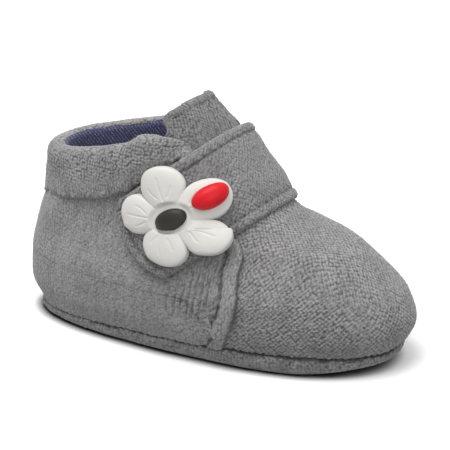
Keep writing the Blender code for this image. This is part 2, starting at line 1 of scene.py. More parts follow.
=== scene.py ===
"""Looks of the baby bootie slipper: velour pieces with a real pile, a twill lining, a padded
cuff and tongue, a strap with rolled edges, and the moulded flower badge.

The pieces follow the same form as the solids, so the form's few sizes are repeated here.
Every cloth piece is a fine grid over the form. Its seams, folds and pile move the grid's
points along their normals, and are worked out in metres along the cloth.
"""

import math
from collections import namedtuple

import bpy
import numpy as np
from mathutils import Matrix, Vector


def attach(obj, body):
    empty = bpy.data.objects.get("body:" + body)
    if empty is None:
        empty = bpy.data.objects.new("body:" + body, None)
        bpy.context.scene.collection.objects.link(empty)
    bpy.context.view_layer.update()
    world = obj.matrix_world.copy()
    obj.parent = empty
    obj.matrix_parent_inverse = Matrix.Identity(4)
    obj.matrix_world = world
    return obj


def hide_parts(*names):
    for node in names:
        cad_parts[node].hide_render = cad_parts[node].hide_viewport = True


MM = 0.001

# The form, as in the solids
LENGTH = 125.0 * MM
BALL_WIDTH = 52.0 * MM
HEIGHT = 66.5 * MM
TOE_SWING = 1.6 * MM
SOLE_THICK = 4.8 * MM
TOE_SPRING = 2.4 * MM
INSOLE_THICK = 2.0 * MM
LINING_DEPTH = 2.0 * MM
QUARTER_OUT = 1.1 * MM
HEM_OUT = 1.7 * MM
GAP = 0.3 * MM
FEATHER_HEIGHT = SOLE_THICK + GAP
FEATHER_PULL = 6.0 * MM
TONGUE_THICK = 2.4 * MM
TONGUE_PUFF = 1.6 * MM
TONGUE_LAP = 4.6 * MM
TONGUE_HEIGHT = 1.02 * HEIGHT
TONGUE_CORNER = 4.5 * MM
TONGUE_CROWN = 1.1 * MM
TONGUE_WING = 8.5 * MM
TONGUE_WIDTH = 46.0 * MM
CUFF_HEIGHT = 17.5 * MM
CUFF_SLIM = 8.0 * MM
CUFF_OUT = 4.2 * MM
COLLAR_BACK = 54.0 * MM
COLLAR_FRONT = 70.5 * MM
COLLAR_SAG = 1.45
CUFF_END_DROP = 7.5 * MM
CUFF_END_RUN = 12.0 * MM
CUFF_END_THIN = 0.65
STRAP_WIDTH = 27.0 * MM
STRAP_THICK = 2.6 * MM
STRAP_LATERAL = 40.4 * MM
STRAP_MEDIAL = 46.0 * MM
STRAP_END_BULGE = 3.6 * MM
STRAP_END_SLANT = 0.07
STRAP_PITCH = math.radians(51.5)
STRAP_REAR_PLANE = -45.4 * MM
STRAP_SEAT = HEM_OUT + GAP
THROAT_HEIGHT = 0.62 * HEIGHT
BADGE_ALONG_RADIUS = 14.4 * MM
BADGE_ACROSS_RADIUS = 16.8 * MM
BADGE_THICK = 3.4 * MM
BADGE_ALONG = -26.4 * MM
BADGE_ACROSS = 0.6 * MM
BADGE_PETALS = 5
BUTTON_LONG = 4.2 * MM
BUTTON_SHORT = 3.3 * MM
BUTTON_RISE = 1.8 * MM
BERRY_RADIUS = 3.6 * MM
BERRY_RISE = 2.8 * MM
BERRY_SHARE = 0.70
BERRY_TURN = 0.0

Level = namedtuple("Level", "name z heel front wide half nose back")
LEVELS = (
    Level("feather", 0.070, -0.462, 0.472, 0.14, 0.470, 2.20, 2.60),
    Level("bulge", 0.185, -0.470, 0.503, 0.14, 0.508, 2.20, 2.60),
    Level("toe_top", 0.295, -0.470, 0.482, 0.12, 0.505, 2.20, 2.50),
    Level("vamp_low", 0.395, -0.452, 0.424, 0.06, 0.465, 2.30, 2.40),
    Level("vamp_mid", 0.480, -0.430, 0.354, -0.02, 0.420, 2.40, 2.40),
    Level("throat", 0.560, -0.414, 0.208, -0.09, 0.385, 2.60, 2.30),
    Level("strap_mid", 0.730, -0.388, 0.094, -0.13, 0.345, 3.00, 2.20),
    Level("strap_top", 0.880, -0.392, 0.024, -0.14, 0.325, 3.60, 2.20),
    Level("tongue_low", 0.950, -0.390, -0.018, -0.15, 0.320, 4.20, 2.20),
    Level("tongue_top", 1.000, -0.388, -0.060, -0.16, 0.318, 4.60, 2.20),
)
EdgeRow = namedtuple("EdgeRow", "z lateral medial")
QUARTER_EDGE = (
    EdgeRow(0.07, 91.0, 91.0),
    EdgeRow(0.28, 81.5, 84.0),
    EdgeRow(0.41, 70.5, 77.0),
    EdgeRow(0.48, 60.5, 68.0),
    EdgeRow(0.55, 49.5, 57.0),
    EdgeRow(0.64, 43.5, 50.0),
    EdgeRow(0.78, 42.0, 46.5),
    EdgeRow(0.92, 41.0, 45.5),
    EdgeRow(1.00, 40.0, 45.0),
)

# Mesh spacing of the cloth
FINE = 0.27 * MM
COARSE = 0.7 * MM

# The cloth pieces' rough sizes, which set how many points their grids have
VAMP_ROUND = 100 * MM
VAMP_UP = 68 * MM
QUARTERS_ROUND = 158 * MM
QUARTERS_UP = 44 * MM
CUFF_ROUND = 145 * MM
LINING_ROUND = 150 * MM
LINING_UP = 50 * MM
TONGUE_UP = 32 * MM
TONGUE_LINING_UP = 30 * MM
TONGUE_TURNED = 6 * MM
SOLE_ROUND = 330 * MM

# The pile, from its crevices to its tips. PILE_LEVEL is the share of it that lies under the
# form's face, and FRAY is how far the heights of its loops vary
DEEP_PILE = 0.38 * MM
SHORT_PILE = 0.26 * MM
LOOP_PILE = 0.50 * MM
PILE_LEVEL = 0.7
FRAY = 0.34

# Stitches: they don't show by themselves, only as puckers this far apart
SOLE_STITCH = 2.4 * MM
HEM_STITCH = 3.1 * MM
STRAP_STITCH = 3.0 * MM

# Profiles across a seam: distance from the edge, and place outwards, in millimetres
ProfilePoint = namedtuple("ProfilePoint", "name run out")
HEM_PROFILE = (
    ProfilePoint("tucked", 0.35, -0.60),
    ProfilePoint("fold_low", 0.00, 0.25),
    ProfilePoint("fold", 0.15, 1.10),
    ProfilePoint("fold_top", 0.75, 1.80),
    ProfilePoint("band", 2.50, 2.05),
    ProfilePoint("band_back", 4.20, 1.90),
    ProfilePoint("groove_edge", 4.95, 1.40),
    ProfilePoint("groove", 5.40, 0.70),
    ProfilePoint("groove_back", 5.90, 1.10),
    ProfilePoint("puff", 7.60, 1.55),
    ProfilePoint("settled", 11.0, 1.25),
    ProfilePoint("field", 14.0, 1.10),
)
STRAP_PROFILE = (
    ProfilePoint("foot", 1.30, 0.20),
    ProfilePoint("wall", 0.80, 1.50),
    ProfilePoint("turn", 0.05, 2.70),
    ProfilePoint("shoulder", 0.50, 4.05),
    ProfilePoint("roll", 1.50, 4.55),
    ProfilePoint("roll_back", 2.55, 4.45),
    ProfilePoint("groove_edge", 2.90, 4.20),
    ProfilePoint("groove", 3.15, 3.90),
    ProfilePoint("groove_back", 3.45, 4.15),
    ProfilePoint("puff", 4.80, 4.50),
    ProfilePoint("field", 9.00, 4.65),
    ProfilePoint("middle", 13.50, 4.65),
)

# The cuff's section: share of the cuff's height, and place from the wall's inner face (0)
# to the fullest part of the roll (1)
SectionPoint = namedtuple("SectionPoint", "name rise out")
CUFF_SECTION = (
    SectionPoint("hidden", 0.92, 0.24),
    SectionPoint("inner_seam", 0.94, 0.08),
    SectionPoint("inner_shoulder", 0.97, 0.11),
    SectionPoint("inner_crown", 0.995, 0.27),
    SectionPoint("crown", 1.00, 0.46),
    SectionPoint("outer_crown", 0.975, 0.68),
    SectionPoint("shoulder", 0.88, 0.90),
    SectionPoint("upper_belly", 0.70, 0.99),
    SectionPoint("belly", 0.45, 1.00),
    SectionPoint("skirt", 0.18, 0.95),
    SectionPoint("lip", 0.00, 0.86),
    SectionPoint("lip_low", -0.055, 0.72),
    SectionPoint("tuck", -0.03, 0.52),
    SectionPoint("tuck_in", 0.03, 0.34),
)

# How the soft pieces have settled, and where they meet
CUFF_END_ROUND = 3.6 * MM
CUFF_SETTLE = 1.2 * MM
CUFF_LEAN = 1.3 * MM
VAMP_LAP = 5.0 * MM
HEM_GROOVE = 5.4 * MM
HEM_WIDTH = 6.2 * MM
STRAP_GROOVE = 3.15 * MM
STRAP_CORNER = 1.8 * MM
STRAP_SETTLE = 0.36
UPPER_LOW = FEATHER_HEIGHT - 0.35 * MM
STRAP_FRONT_PLANE = STRAP_REAR_PLANE + STRAP_WIDTH
BAND_JOINT = 0.5 * MM
INSTEP_SWELL = 1.2 * MM
HEEL_TUCK = 1.4 * MM
HEEL_FILL = 1.7 * MM
SEAM_WANDER = 0.22 * MM

# Creases, listed one by one: from and to are (x, z) on one side of the shoe, in millimetres
Crease = namedtuple("Crease", "name side start end width depth")
CREASE_WANDER = 0.45 * MM
CREASES = (
    Crease("below_strap_1", -1, (0.9, 23.5), (-0.4, 14.0), 0.60, 0.18),
    Crease("below_strap_2", -1, (3.4, 25.0), (2.0, 11.5), 0.55, 0.24),
    Crease("below_strap_3", -1, (5.5, 26.0), (4.2, 13.0), 0.45, 0.30),
    Crease("below_strap_4", -1, (7.6, 27.0), (6.4, 11.0), 0.50, 0.36),
    Crease("below_strap_5", -1, (9.7, 28.0), (8.4, 13.5), 0.45, 0.38),
    Crease("below_strap_6", -1, (11.8, 28.5), (10.6, 12.5), 0.45, 0.38),
    Crease("below_strap_7", -1, (13.8, 29.0), (12.8, 15.5), 0.45, 0.34),
    Crease("waist", -1, (-34.0, 16.0), (-22.0, 12.5), 2.8, 0.14),
    Crease("heel_side", -1, (-50.0, 27.0), (-38.0, 31.0), 3.0, 0.12),
    Crease("medial_flex_1", 1, (4.0, 22.0), (3.0, 11.0), 0.60, 0.28),
    Crease("medial_flex_2", 1, (8.0, 23.0), (7.2, 12.0), 0.60, 0.28),
    Crease("medial_waist", 1, (-36.0, 17.0), (-22.0, 13.0), 2.8, 0.14),
)

# Places along the shoe and how much higher the sole seam lies there, in millimetres
SeamPoint = namedtuple("SeamPoint", "x rise")
SEAM_POINTS = (
    SeamPoint(-60.0, -2.0),
    SeamPoint(-30.0, -0.7),
    SeamPoint(0.0, 0.5),
    SeamPoint(30.0, 1.3),
    SeamPoint(60.0, 0.9),
)

# Camera, floor and light
VIEW_AROUND = math.radians(30.0)
VIEW_ABOVE = math.radians(20.0)
VIEW_TARGET = Vector((-3.7, 12.9, 27.6)) * MM
VIEW_DISTANCE = 736 * MM
VIEW_LENS = 198.4
FLOOR_SIZE = 6.0
# How far the floor's painted contact shadow reaches, and the side it opens towards
CONTACT_SHADOW = 4.5 * MM
CONTACT_OPEN_SIDE = (0.40, -0.05, 0.91)
SKY_LOW = 0.52
SKY_HIGH = 1.06
KEY_POWER = 8.0
FILL_POWER = 3.0

# Colours of the cloth and of the badge
# The velour's dark colour is painted shade deep in its pile, its light colour painted light on
# the tips
VELOUR_DARK = (0.078, 0.077, 0.079)
VELOUR_LIGHT = (0.335, 0.328, 0.330)
TWILL_DARK = (0.050, 0.052, 0.112)
TWILL_LIGHT = (0.235, 0.246, 0.395)
WHITE = (0.61, 0.60, 0.57)
CHARCOAL = (0.024, 0.023, 0.019)
RED = (0.62, 0.002, 0.010)
FLOOR_SHADED = (0.02, 0.02, 0.02)
FLOOR_WHITE = (0.92, 0.92, 0.92)


# Curves and noise

def smooth_curve(places, values):
    """A curve through the values that never overshoots them (monotone cubic)."""
    places, values = np.asarray(places, float), np.asarray(values, float)
    spans = np.diff(places)
    slopes = np.diff(values) / spans
    product = slopes[:-1] * slopes[1:]
    total = np.where(product > 0, slopes[:-1] + slopes[1:], 1.0)
    inner = np.where(product > 0, 2 * product / total, 0.0)
    tangents = np.concatenate([slopes[:1], inner, slopes[-1:]])

    def curve(place):
        place = np.clip(place, places[0], places[-1])
        i = np.clip(np.searchsorted(places, place, side="right") - 1, 0, len(spans) - 1)
        span = spans[i]
        t = (place - places[i]) / span
        return (
            (2 * t**3 - 3 * t**2 + 1) * values[i]
            + (t**3 - 2 * t**2 + t) * span * tangents[i]
            + (3 * t**2 - 2 * t**3) * values[i + 1]
            + (t**3 - t**2) * span * tangents[i + 1]
        )

    return curve


def smooth_step(value):
    value = np.clip(value, 0.0, 1.0)
    return value * value * (3 - 2 * value)


def bell(value, width):
    """1 where the value is 0, and less on both sides: about a third at this width."""
    return np.exp(-((value / width) ** 2))


def smooth_path(points, spacing):
    """Evenly spaced points along a smooth path through the given ones."""
    points = np.asarray(points, float)
    chords = np.linalg.norm(np.diff(points, axis=0), axis=1)
    places = np.concatenate([[0.0], np.cumsum(chords)])
    curves = [smooth_curve(places, line) for line in points.T]
    dense = np.linspace(0, places[-1], 400)
    path = np.stack([curve(dense) for curve in curves], axis=1)
    steps = np.linalg.norm(np.diff(path, axis=0), axis=1)
    lengths = np.concatenate([[0.0], np.cumsum(steps)])
    count = max(int(round(lengths[-1] / spacing)), 2) + 1
    wanted = np.linspace(0, lengths[-1], count)
    return np.stack([np.interp(wanted, lengths, line) for line in path.T], axis=1)


def hashed(cells, seed):
    """A repeatable number from 0 to 1 for each cell, given by whole-number coordinates."""
    mixed = np.full(np.shape(cells[0]), seed * 362437 + 977, dtype=np.int64)
    for cell, prime in zip(cells, (374761393, 668265263, 2147483647)):
        mixed = (mixed + cell * prime) & 0xFFFFFFFF
        mixed = ((mixed ^ (mixed >> 13)) * 1274126177) & 0xFFFFFFFF
        mixed ^= mixed >> 16
    return (mixed & 0xFFFF) / 65535.0


def drift(places, size, seed):
    """Soft noise from -1 to 1 over coordinates in metres, with lumps of this size."""
    scaled = [np.asarray(place) / size for place in places]
    low = [np.floor(place).astype(np.int64) for place in scaled]
    part = [smooth_step(place - floor) for place, floor in zip(scaled, low)]
    total = 0.0
    for corner in range(2 ** len(scaled)):
        steps = [(corner >> k) & 1 for k in range(len(scaled))]
        weight = 1.0
        for step, share in zip(steps, part):
            weight = weight * (share if step else 1 - share)
        total = total + weight * hashed([c + s for c, s in zip(low, steps)], seed)
    return 2 * total - 1


def patches(places, size, seed):
    """Soft noise from 0 to 1."""
    return 0.5 + 0.5 * drift(places, size, seed)


def grains(u, v, pitch, seed, lean=0.0, spread=math.pi, crossed=False, long=0.66, short=0.44,
           jitter=0.5):
    """Heights from 0 to 1 of pile tufts, one for each cell of a loose grid. A tuft is a
    small ellipse that lies at the lean give or take half the spread; crossed tufts lie the
    other way in every second cell, as in a basket weave."""
    u, v = u / pitch, v / pitch
    cell_u, cell_v = np.floor(u).astype(np.int64), np.floor(v).astype(np.int64)
    nearest = np.full(u.shape, 9.0)
    for step_u in (-1, 0, 1):
        for step_v in (-1, 0, 1):
            iu, iv = cell_u + step_u, cell_v + step_v
            off_u = u - iu - 0.5 - jitter * (hashed((iu, iv), seed) - 0.5)
            off_v = v - iv - 0.5 - jitter * (hashed((iu, iv), seed + 1) - 0.5)
            turn = lean + spread * (hashed((iu, iv), seed + 2) - 0.5)
            if crossed:
                turn = turn + 0.5 * math.pi * ((iu + iv) % 2)
            size = 0.72 + 0.50 * hashed((iu, iv), seed + 3)
            ahead = off_u * np.cos(turn) + off_v * np.sin(turn)
            aside = off_v * np.cos(turn) - off_u * np.sin(turn)
            distance = ((ahead / long) ** 2 + (aside / short) ** 2) / size
            nearest = np.minimum(nearest, distance)
    return np.clip(1 - nearest, 0.0, 1.0) ** 0.8


# Form

def level_curve(column, size):
    heights = [level.z * HEIGHT for level in LEVELS]
    return smooth_curve(heights, [getattr(level, column) * size for level in LEVELS])


HEEL_X = level_curve("heel", LENGTH)
FRONT_X = level_curve("front", LENGTH)
WIDE_X = level_curve("wide", LENGTH)
HALF_WIDTH = level_curve("half", BALL_WIDTH)
NOSE_SQUARENESS = level_curve("nose", 1.0)
BACK_SQUARENESS = level_curve("back", 1.0)
SEAM_RISE = smooth_curve(
    [point.x * MM for point in SEAM_POINTS], [point.rise * MM for point in SEAM_POINTS]
)
EDGE_HEIGHTS = [row.z * HEIGHT for row in QUARTER_EDGE]
EDGE_ANGLE = {
    -1: smooth_curve(EDGE_HEIGHTS, np.radians([row.lateral for row in QUARTER_EDGE])),
    1: smooth_curve(EDGE_HEIGHTS, np.radians([row.medial for row in QUARTER_EDGE])),
}


def unit(vectors):
    return vectors / np.maximum(np.linalg.norm(vectors, axis=-1, keepdims=True), 1e-12)


def form_point(angle, z):
    """Points of the form: angle 0 is the toe side, a positive angle the medial side."""
    angle, z = np.broadcast_arrays(np.asarray(angle, float), np.asarray(z, float))
    along, across = np.cos(angle), np.sin(angle)
    wide = WIDE_X(z)
    ahead = along >= 0
    reach = np.where(ahead, FRONT_X(z) - wide, wide - HEEL_X(z))
    square = np.where(ahead, NOSE_SQUARENESS(z), BACK_SQUARENESS(z))
    radius = (np.abs(along) ** square + np.abs(across) ** square) ** (-1 / square)
    x = wide + reach * radius * along
    swing = TOE_SWING * smooth_step(x / (0.5 * LENGTH))
    return np.stack([x, HALF_WIDTH(z) * radius * across + swing, z], axis=-1)


def form_normal(angle, z):
    turn, lift = 0.01, 0.25 * MM
    around = form_point(angle + turn, z) - form_point(angle - turn, z)
    upward = form_point(angle, z + lift) - form_point(angle, z - lift)
    return unit(np.cross(around, upward))


def skin(angle, z, out):
    """The form's points moved outwards along their normals."""
    points = form_point(angle, z)
    outward = np.broadcast_to(out, points.shape[:-1])[..., None]
    return points + form_normal(angle, z) * outward


def angle_for(distance, angle, z):
    """The turn that moves a point of the slice by a distance along it."""
    turn = 0.01
    step = form_point(angle + turn, z) - form_point(angle - turn, z)
    return distance * 2 * turn / np.linalg.norm(step, axis=-1)


def edge_offset_angle(side, distance, z):
    """Angles of a line that runs a distance behind the quarter's front edge."""
    edge = side * EDGE_ANGLE[side](z)
    half_way = edge + side * 0.5 * angle_for(distance, edge, z)
    return edge + side * angle_for(distance, half_way, z)


def running_lengths(points):
    """Length from the first row to each point down the columns of a grid."""
    steps = np.linalg.norm(np.diff(points, axis=0), axis=-1)
    return np.concatenate([np.zeros((1, steps.shape[1])), np.cumsum(steps, axis=0)])


def even_heights(angle_at, low, high, rows):
    """Heights that space the rows evenly over the form from low to high, per column."""
    z = low + (high - low) * np.linspace(0, 1, 80)[:, None]
    lengths = running_lengths(form_point(angle_at(z), z))
    wanted = np.linspace(0, 1, rows)
    placed = [
        np.interp(wanted * lengths[-1, j], lengths[:, j], z[:, j])
        for j in range(z.shape[1])
    ]
    return np.stack(placed, axis=1)


def height_on_plane(angle, plane):
    """Heights at which the columns of these angles cross the strap's planes."""
    angle, plane = np.broadcast_arrays(np.asarray(angle, float), np.asarray(plane, float))
    low, high = np.full(angle.shape, 0.05 * HEIGHT), np.full(angle.shape, HEIGHT)
    for _ in range(24):
        middle = 0.5 * (low + high)
        x = form_point(angle, middle)[..., 0]
        below = x * math.cos(STRAP_PITCH) - middle * math.sin(STRAP_PITCH) > plane
        low = np.where(below, middle, low)
        high = np.where(below, high, middle)
    return 0.5 * (low + high)


def toe_share(angle):
    return 0.5 * (1 + np.cos(angle))


def collar_height(angle):
    return COLLAR_BACK + (COLLAR_FRONT - COLLAR_BACK) * toe_share(angle) ** COLLAR_SAG


def end_share(angle):
    """1 at the cuff's front ends, falling to 0 over its end run."""
    z = collar_height(angle)
    edge = np.where(angle > 0, EDGE_ANGLE[1](z), EDGE_ANGLE[-1](z))
    behind = (np.abs(angle) - edge) / angle_for(1.0, np.sign(angle) * edge, z)
    return np.clip(1 - behind / CUFF_END_RUN, 0.0, 1.0)


def cuff_top(angle):
    """The collar height, rounded down towards the cuff's front ends."""
    return collar_height(angle) - CUFF_END_DROP * end_share(angle) ** 2


def cuff_foot(angle):
    """The quarter's top edge, where the cuff begins. It stays behind the strap."""
    behind_strap = height_on_plane(angle, STRAP_REAR_PLANE - 3 * GAP)
    tall = CUFF_HEIGHT - CUFF_SLIM * toe_share(angle)
    return np.maximum(collar_height(angle) - tall, behind_strap)


def cuff_lean(angle, z):
    """The stuffed cuff leans outwards at the heel."""
    at_back = smooth_step((-np.cos(angle) - 0.35) / 0.6)
    return CUFF_LEAN * at_back * smooth_step((z - COLLAR_BACK + CUFF_HEIGHT) / CUFF_HEIGHT)


def signed(angle):
    """The same angles between minus and plus half a turn."""
    return np.arctan2(np.sin(angle), np.cos(angle))


# Pile patterns, heights from 0 to 1 over flat coordinates in metres, and forms of the cloth

def woven_pile(u, v, seed):
    """Basket-like terry: short tufts that lie across each other on the bias."""
    bend_u = u + 0.45 * MM * drift((u, v), 5 * MM, seed + 11)
    bend_v = v + 0.45 * MM * drift((u, v), 5 * MM, seed + 12)
    rising, falling = 0.707 * (bend_u + bend_v), 0.707 * (bend_v - bend_u)
    weave = grains(rising, falling, 0.98 * MM, seed, 0.0, 0.6, True, 0.76, 0.46, jitter=0.36)
    patchy = patches((u, v), 4.5 * MM, seed + 13)
    fuzz = patches((u, v), 0.5 * MM, seed + 14)
    return (0.50 + 0.26 * patchy) * weave + 0.24 * fuzz


def combed_pile(u, v, seed):
    """Short pile brushed downwards, with faint streaks."""
    bend_u = u + 0.4 * MM * drift((u, v), 4 * MM, seed + 11)
    tufts = grains(bend_u, v, 0.92 * MM, seed, 0.5 * math.pi, 1.8, long=0.70, short=0.42)
    streak = patches((bend_u, 0.2 * v), 0.7 * MM, seed + 12)
    fuzz = patches((u, v), 0.5 * MM, seed + 14)
    return 0.12 + 0.44 * tufts + 0.20 * streak + 0.20 * fuzz


def looped_pile(u, v, seed):
    """Round terry loops."""
    loops = grains(u, v, 0.98 * MM, seed, 0.5 * math.pi, 2.4, long=0.74, short=0.52)
    patchy = patches((u, v), 5 * MM, seed + 13)
    fuzz = patches((u, v), 0.5 * MM, seed + 14)
    return 0.06 + (0.50 + 0.30 * patchy) * loops + 0.18 * fuzz


def woven(points, normals, pattern, seed, pitch=0.0):
    """A flat pattern laid on a curved piece from the side, from the front and from above,
    each where the piece faces that way most. The pitch tips the three directions about Y."""
    turned = (math.cos(pitch), math.sin(pitch))
    places, facing = [], []
    for vectors, out in ((points, places), (normals, facing)):
        ahead = vectors[..., 0] * turned[0] - vectors[..., 2] * turned[1]
        up = vectors[..., 0] * turned[1] + vectors[..., 2] * turned[0]
        out.extend((ahead, vectors[..., 1], up))
    weights = np.abs(np.stack(facing)) ** 8
    weights /= weights.sum(axis=0)
    ahead, aside, up = places
    flat = ((aside, up), (ahead, up), (ahead, aside))
    return sum(
        weight * pattern(u, v, seed + 100 * k)
        for k, (weight, (u, v)) in enumerate(zip(weights, flat))
    )


def seam_depth(points):
    """How dark the sole seam is: a soft, shallow line round the heel."""
    return 1 - 0.65 * smooth_step((-points[..., 0] - 22 * MM) / (26 * MM))


def heel_tuck(points):
    """How far the cloth is drawn in low down at the back of the heel."""
    at_back = smooth_step((-points[..., 0] - 44 * MM) / (12 * MM))
    return -HEEL_TUCK * at_back * smooth_step((9 * MM - points[..., 2]) / (6 * MM))


def heel_fill(points):
    """How far the padded back of the heel stands out just below the cuff."""
    at_back = smooth_step((-points[..., 0] - 34 * MM) / (14 * MM))
    return HEEL_FILL * at_back * smooth_step((points[..., 2] - 20 * MM) / (14 * MM))


def stuffing(points):
    """Slow unevenness of stuffed cloth, the same for every piece at the same place."""
    places = (points[..., 0], points[..., 1], points[..., 2])
    return 0.28 * MM * drift(places, 11 * MM, 5) + 0.14 * MM * drift(places, 5 * MM, 6)


def frayed(pile, seed):
    """The pile with single loops that stand out from it or lie down."""
    rows, columns = np.indices(pile.shape)
    return np.clip(pile + FRAY * (hashed((rows, columns), seed) - 0.5), 0, 1)


def between(pile):
    """Extra painted shade low down between the loops."""
    return 0.7 * np.clip(0.6 - pile, 0, 1)


def creased(points):
    """Depth of the listed creases, each with a low swelling on either side of it."""
    x, y, z = points[..., 0], points[..., 1], points[..., 2]
    total = np.zeros(x.shape)
    x = x + CREASE_WANDER * drift((0.4 * x, z), 3.6 * MM, 21)
    for crease in CREASES:
        start, end = np.array(crease.start) * MM, np.array(crease.end) * MM
        line = end - start
        share = ((x - start[0]) * line[0] + (z - start[1]) * line[1]) / (line @ line)
        inside = np.clip(share, 0, 1)
        off = np.hypot(x - start[0] - inside * line[0], z - start[1] - inside * line[1])
        width = crease.width * MM
        fade = smooth_step(2.0 * (1 - np.abs(2 * inside - 1)))
        profile = 0.45 * bell(off - 1.9 * width, width) - bell(off, width)
        total += np.where(y * crease.side > 0, crease.depth * MM * fade * profile, 0.0)
    return total


# Meshes

def grid_normals(points, wrap=False):
    if wrap:
        points = np.concatenate([points[:, -1:], points, points[:, :1]], axis=1)
    normals = unit(np.cross(np.gradient(points, axis=1), np.gradient(points, axis=0)))
    return normals[:, 1:-1] if wrap else normals


def grid_quads(rows, columns, wrap=False):
    index = np.arange(rows * columns).reshape(rows, columns)
    if wrap:
        index = np.concatenate([index, index[:, :1]], axis=1)
    corners = (index[:-1, :-1], index[:-1, 1:], index[1:, 1:], index[1:, :-1])
    return np.stack(corners, axis=-1).reshape(-1, 4)


def add_object(name, data):
    made = bpy.data.objects.new(name, data)
    bpy.context.scene.collection.objects.link(made)
    return made


def mesh_piece(name, points, finish, replaced, values=None, wrap=False, capped=False):
    """An object from a grid of points, with named values for its finish, that stands for
    some of the solids. A wrapped grid closes on itself, and a cap closes its last row."""
    rows, columns = points.shape[:2]
    faces = grid_quads(rows, columns, wrap).tolist()
    if capped:
        faces.append(list(range((rows - 1) * columns, rows * columns)))
    mesh = bpy.data.meshes.new(name)
    mesh.from_pydata(points.reshape(-1, 3).tolist(), [], faces)
    for key, value in (values or {}).items():
        layer = mesh.attributes.new(key, "FLOAT", "POINT")
        layer.data.foreach_set("value", np.asarray(value, np.float32).reshape(-1))
    mesh.shade_smooth()
    mesh.materials.append(finish.material)
    made = add_object(name, mesh)
    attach(made, "root")
    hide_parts(*replaced)
    return made


def raised(base, pile, rise, height, wrap=False):
    """A cloth grid with its pile of this rise; height moves the cloth under the pile."""
    lift = rise * (pile - PILE_LEVEL) + height
    return base + grid_normals(base, wrap) * lift[..., None]


def cloth_values(pile, shade):
    """What the velour's finish reads: the pile, for its painted shade and light, and the painted
    shade in seams and folds.
    """
    return {"pile": np.clip(pile, 0, 1), "shade": np.clip(shade, 0, 1)}


def cloth_piece(name, base, pile, rise, height, shade, finish, replaced):
    pile = frayed(pile, 7)
    points = raised(base, pile, rise, height)
    return mesh_piece(name, points, finish, replaced, cloth_values(pile, shade))


def cloth_coordinates(base):
    """Running lengths across and up a grid, with 0 across at its middle column."""
    across = running_lengths(base.transpose(1, 0, 2)).T
    return across - across[:, base.shape[1] // 2][:, None], running_lengths(base)


# Finishes

Finish = namedtuple("Finish", "slot material")


class Nodes:
    """Short calls to build one material's nodes."""

    def __init__(self, name):
        self.material = bpy.data.materials.new(name)
        self.material.use_nodes = True
        self.tree = self.material.node_tree
        self.shader = self.tree.nodes["Principled BSDF"]

    def set(self, **values):
        self.fill(self.shader, **values)

    def fill(self, node, **values):
        for name, value in values.items():
            node.inputs[name.replace("_", " ")].default_value = value

    def add(self, kind, **values):
        """A new node of this kind, with values on its sockets."""
        node = self.tree.nodes.new("ShaderNode" + kind)
        self.fill(node, **values)
        return node

    def link(self, value, node, socket):
        """Put a number, or what comes out of another node, on a socket."""
        if isinstance(value, (int, float)):
            node.inputs[socket].default_value = value
        else:
            self.tree.links.new(value, node.inputs[socket])

    def position(self):
        return self.add("TexCoord").outputs["Object"]

    def value(self, name):
        node = self.add("Attribute")
        node.attribute_name = name
        return node.outputs["Fac"]

    def noise(self, size, detail=2.0):
        """Noise from 0 to 1 with lumps of this size in metres."""
        node = self.add("TexNoise", Scale=1 / size, Detail=detail)
        self.link(self.position(), node, "Vector")
        return node.outputs["Fac"]

    def math(self, operation, first, second):
        node = self.add("Math")
        node.operation = operation
        self.link(first, node, 0)
        self.link(second, node, 1)
        return node.outputs[0]

    def spread(self, value, low, high, to_low=0.0, to_high=1.0):
        """The value's range from low to high, stretched to another range."""
        node = self.add("MapRange", From_Min=low, From_Max=high, To_Min=to_low, To_Max=to_high)
        self.link(value, node, "Value")
        return node.outputs["Result"]

    def mix(self, share, first, second):
        """A colour between two, each of them an output or three numbers."""
        node = self.add("Mix")
        node.data_type = "RGBA"
        self.link(share, node, 0)
        for k, value in ((6, first), (7, second)):
            if isinstance(value, tuple):
                node.inputs[k].default_value = (*value, 1.0)
            else:
                self.link(value, node, k)
        return node.outputs[2]

    def colour(self, output):
        self.link(output, self.shader, "Base Color")

    def bump(self, height, distance, strength):
        node = self.add("Bump", Distance=distance, Strength=strength)
        self.link(height, node, "Height")
        self.link(node.outputs["Normal"], self.shader, "Normal")


def velour_finish():
    """Grey velour: painted shade between the tufts and in the seams, painted light on the tips.
    """
    nodes = Nodes("grey_velour")
    nodes.set(Roughness=0.95, Sheen_Weight=0.25, Sheen_Roughness=0.6)
    nodes.set(Specular_IOR_Level=0.15)
    heather = nodes.spread(nodes.noise(0.42 * MM, 3.0), 0.3, 0.7, -0.28, 0.28)
    worn = nodes.spread(nodes.noise(9 * MM, 2.0), 0.3, 0.7, -0.07, 0.07)
    # Painted shade low in the pile and painted light on the tips, from the pile's height, with
    # random heather and slow patches added
    tips = nodes.spread(nodes.value("pile"), 0.0, 0.95)
    tips = nodes.math("ADD", nodes.math("ADD", tips, heather), worn)
    cloth = nodes.mix(tips, VELOUR_DARK, VELOUR_LIGHT)
    # The darkest colour, for the painted shade that the shade value lays in seams, folds and
    # grooves
    seam = tuple(0.30 * part for part in VELOUR_DARK)
    nodes.colour(nodes.mix(nodes.value("shade"), cloth, seam))
    nodes.bump(nodes.noise(0.16 * MM, 3.0), 0.10 * MM, 0.7)
    return Finish("grey_velour", nodes.material)


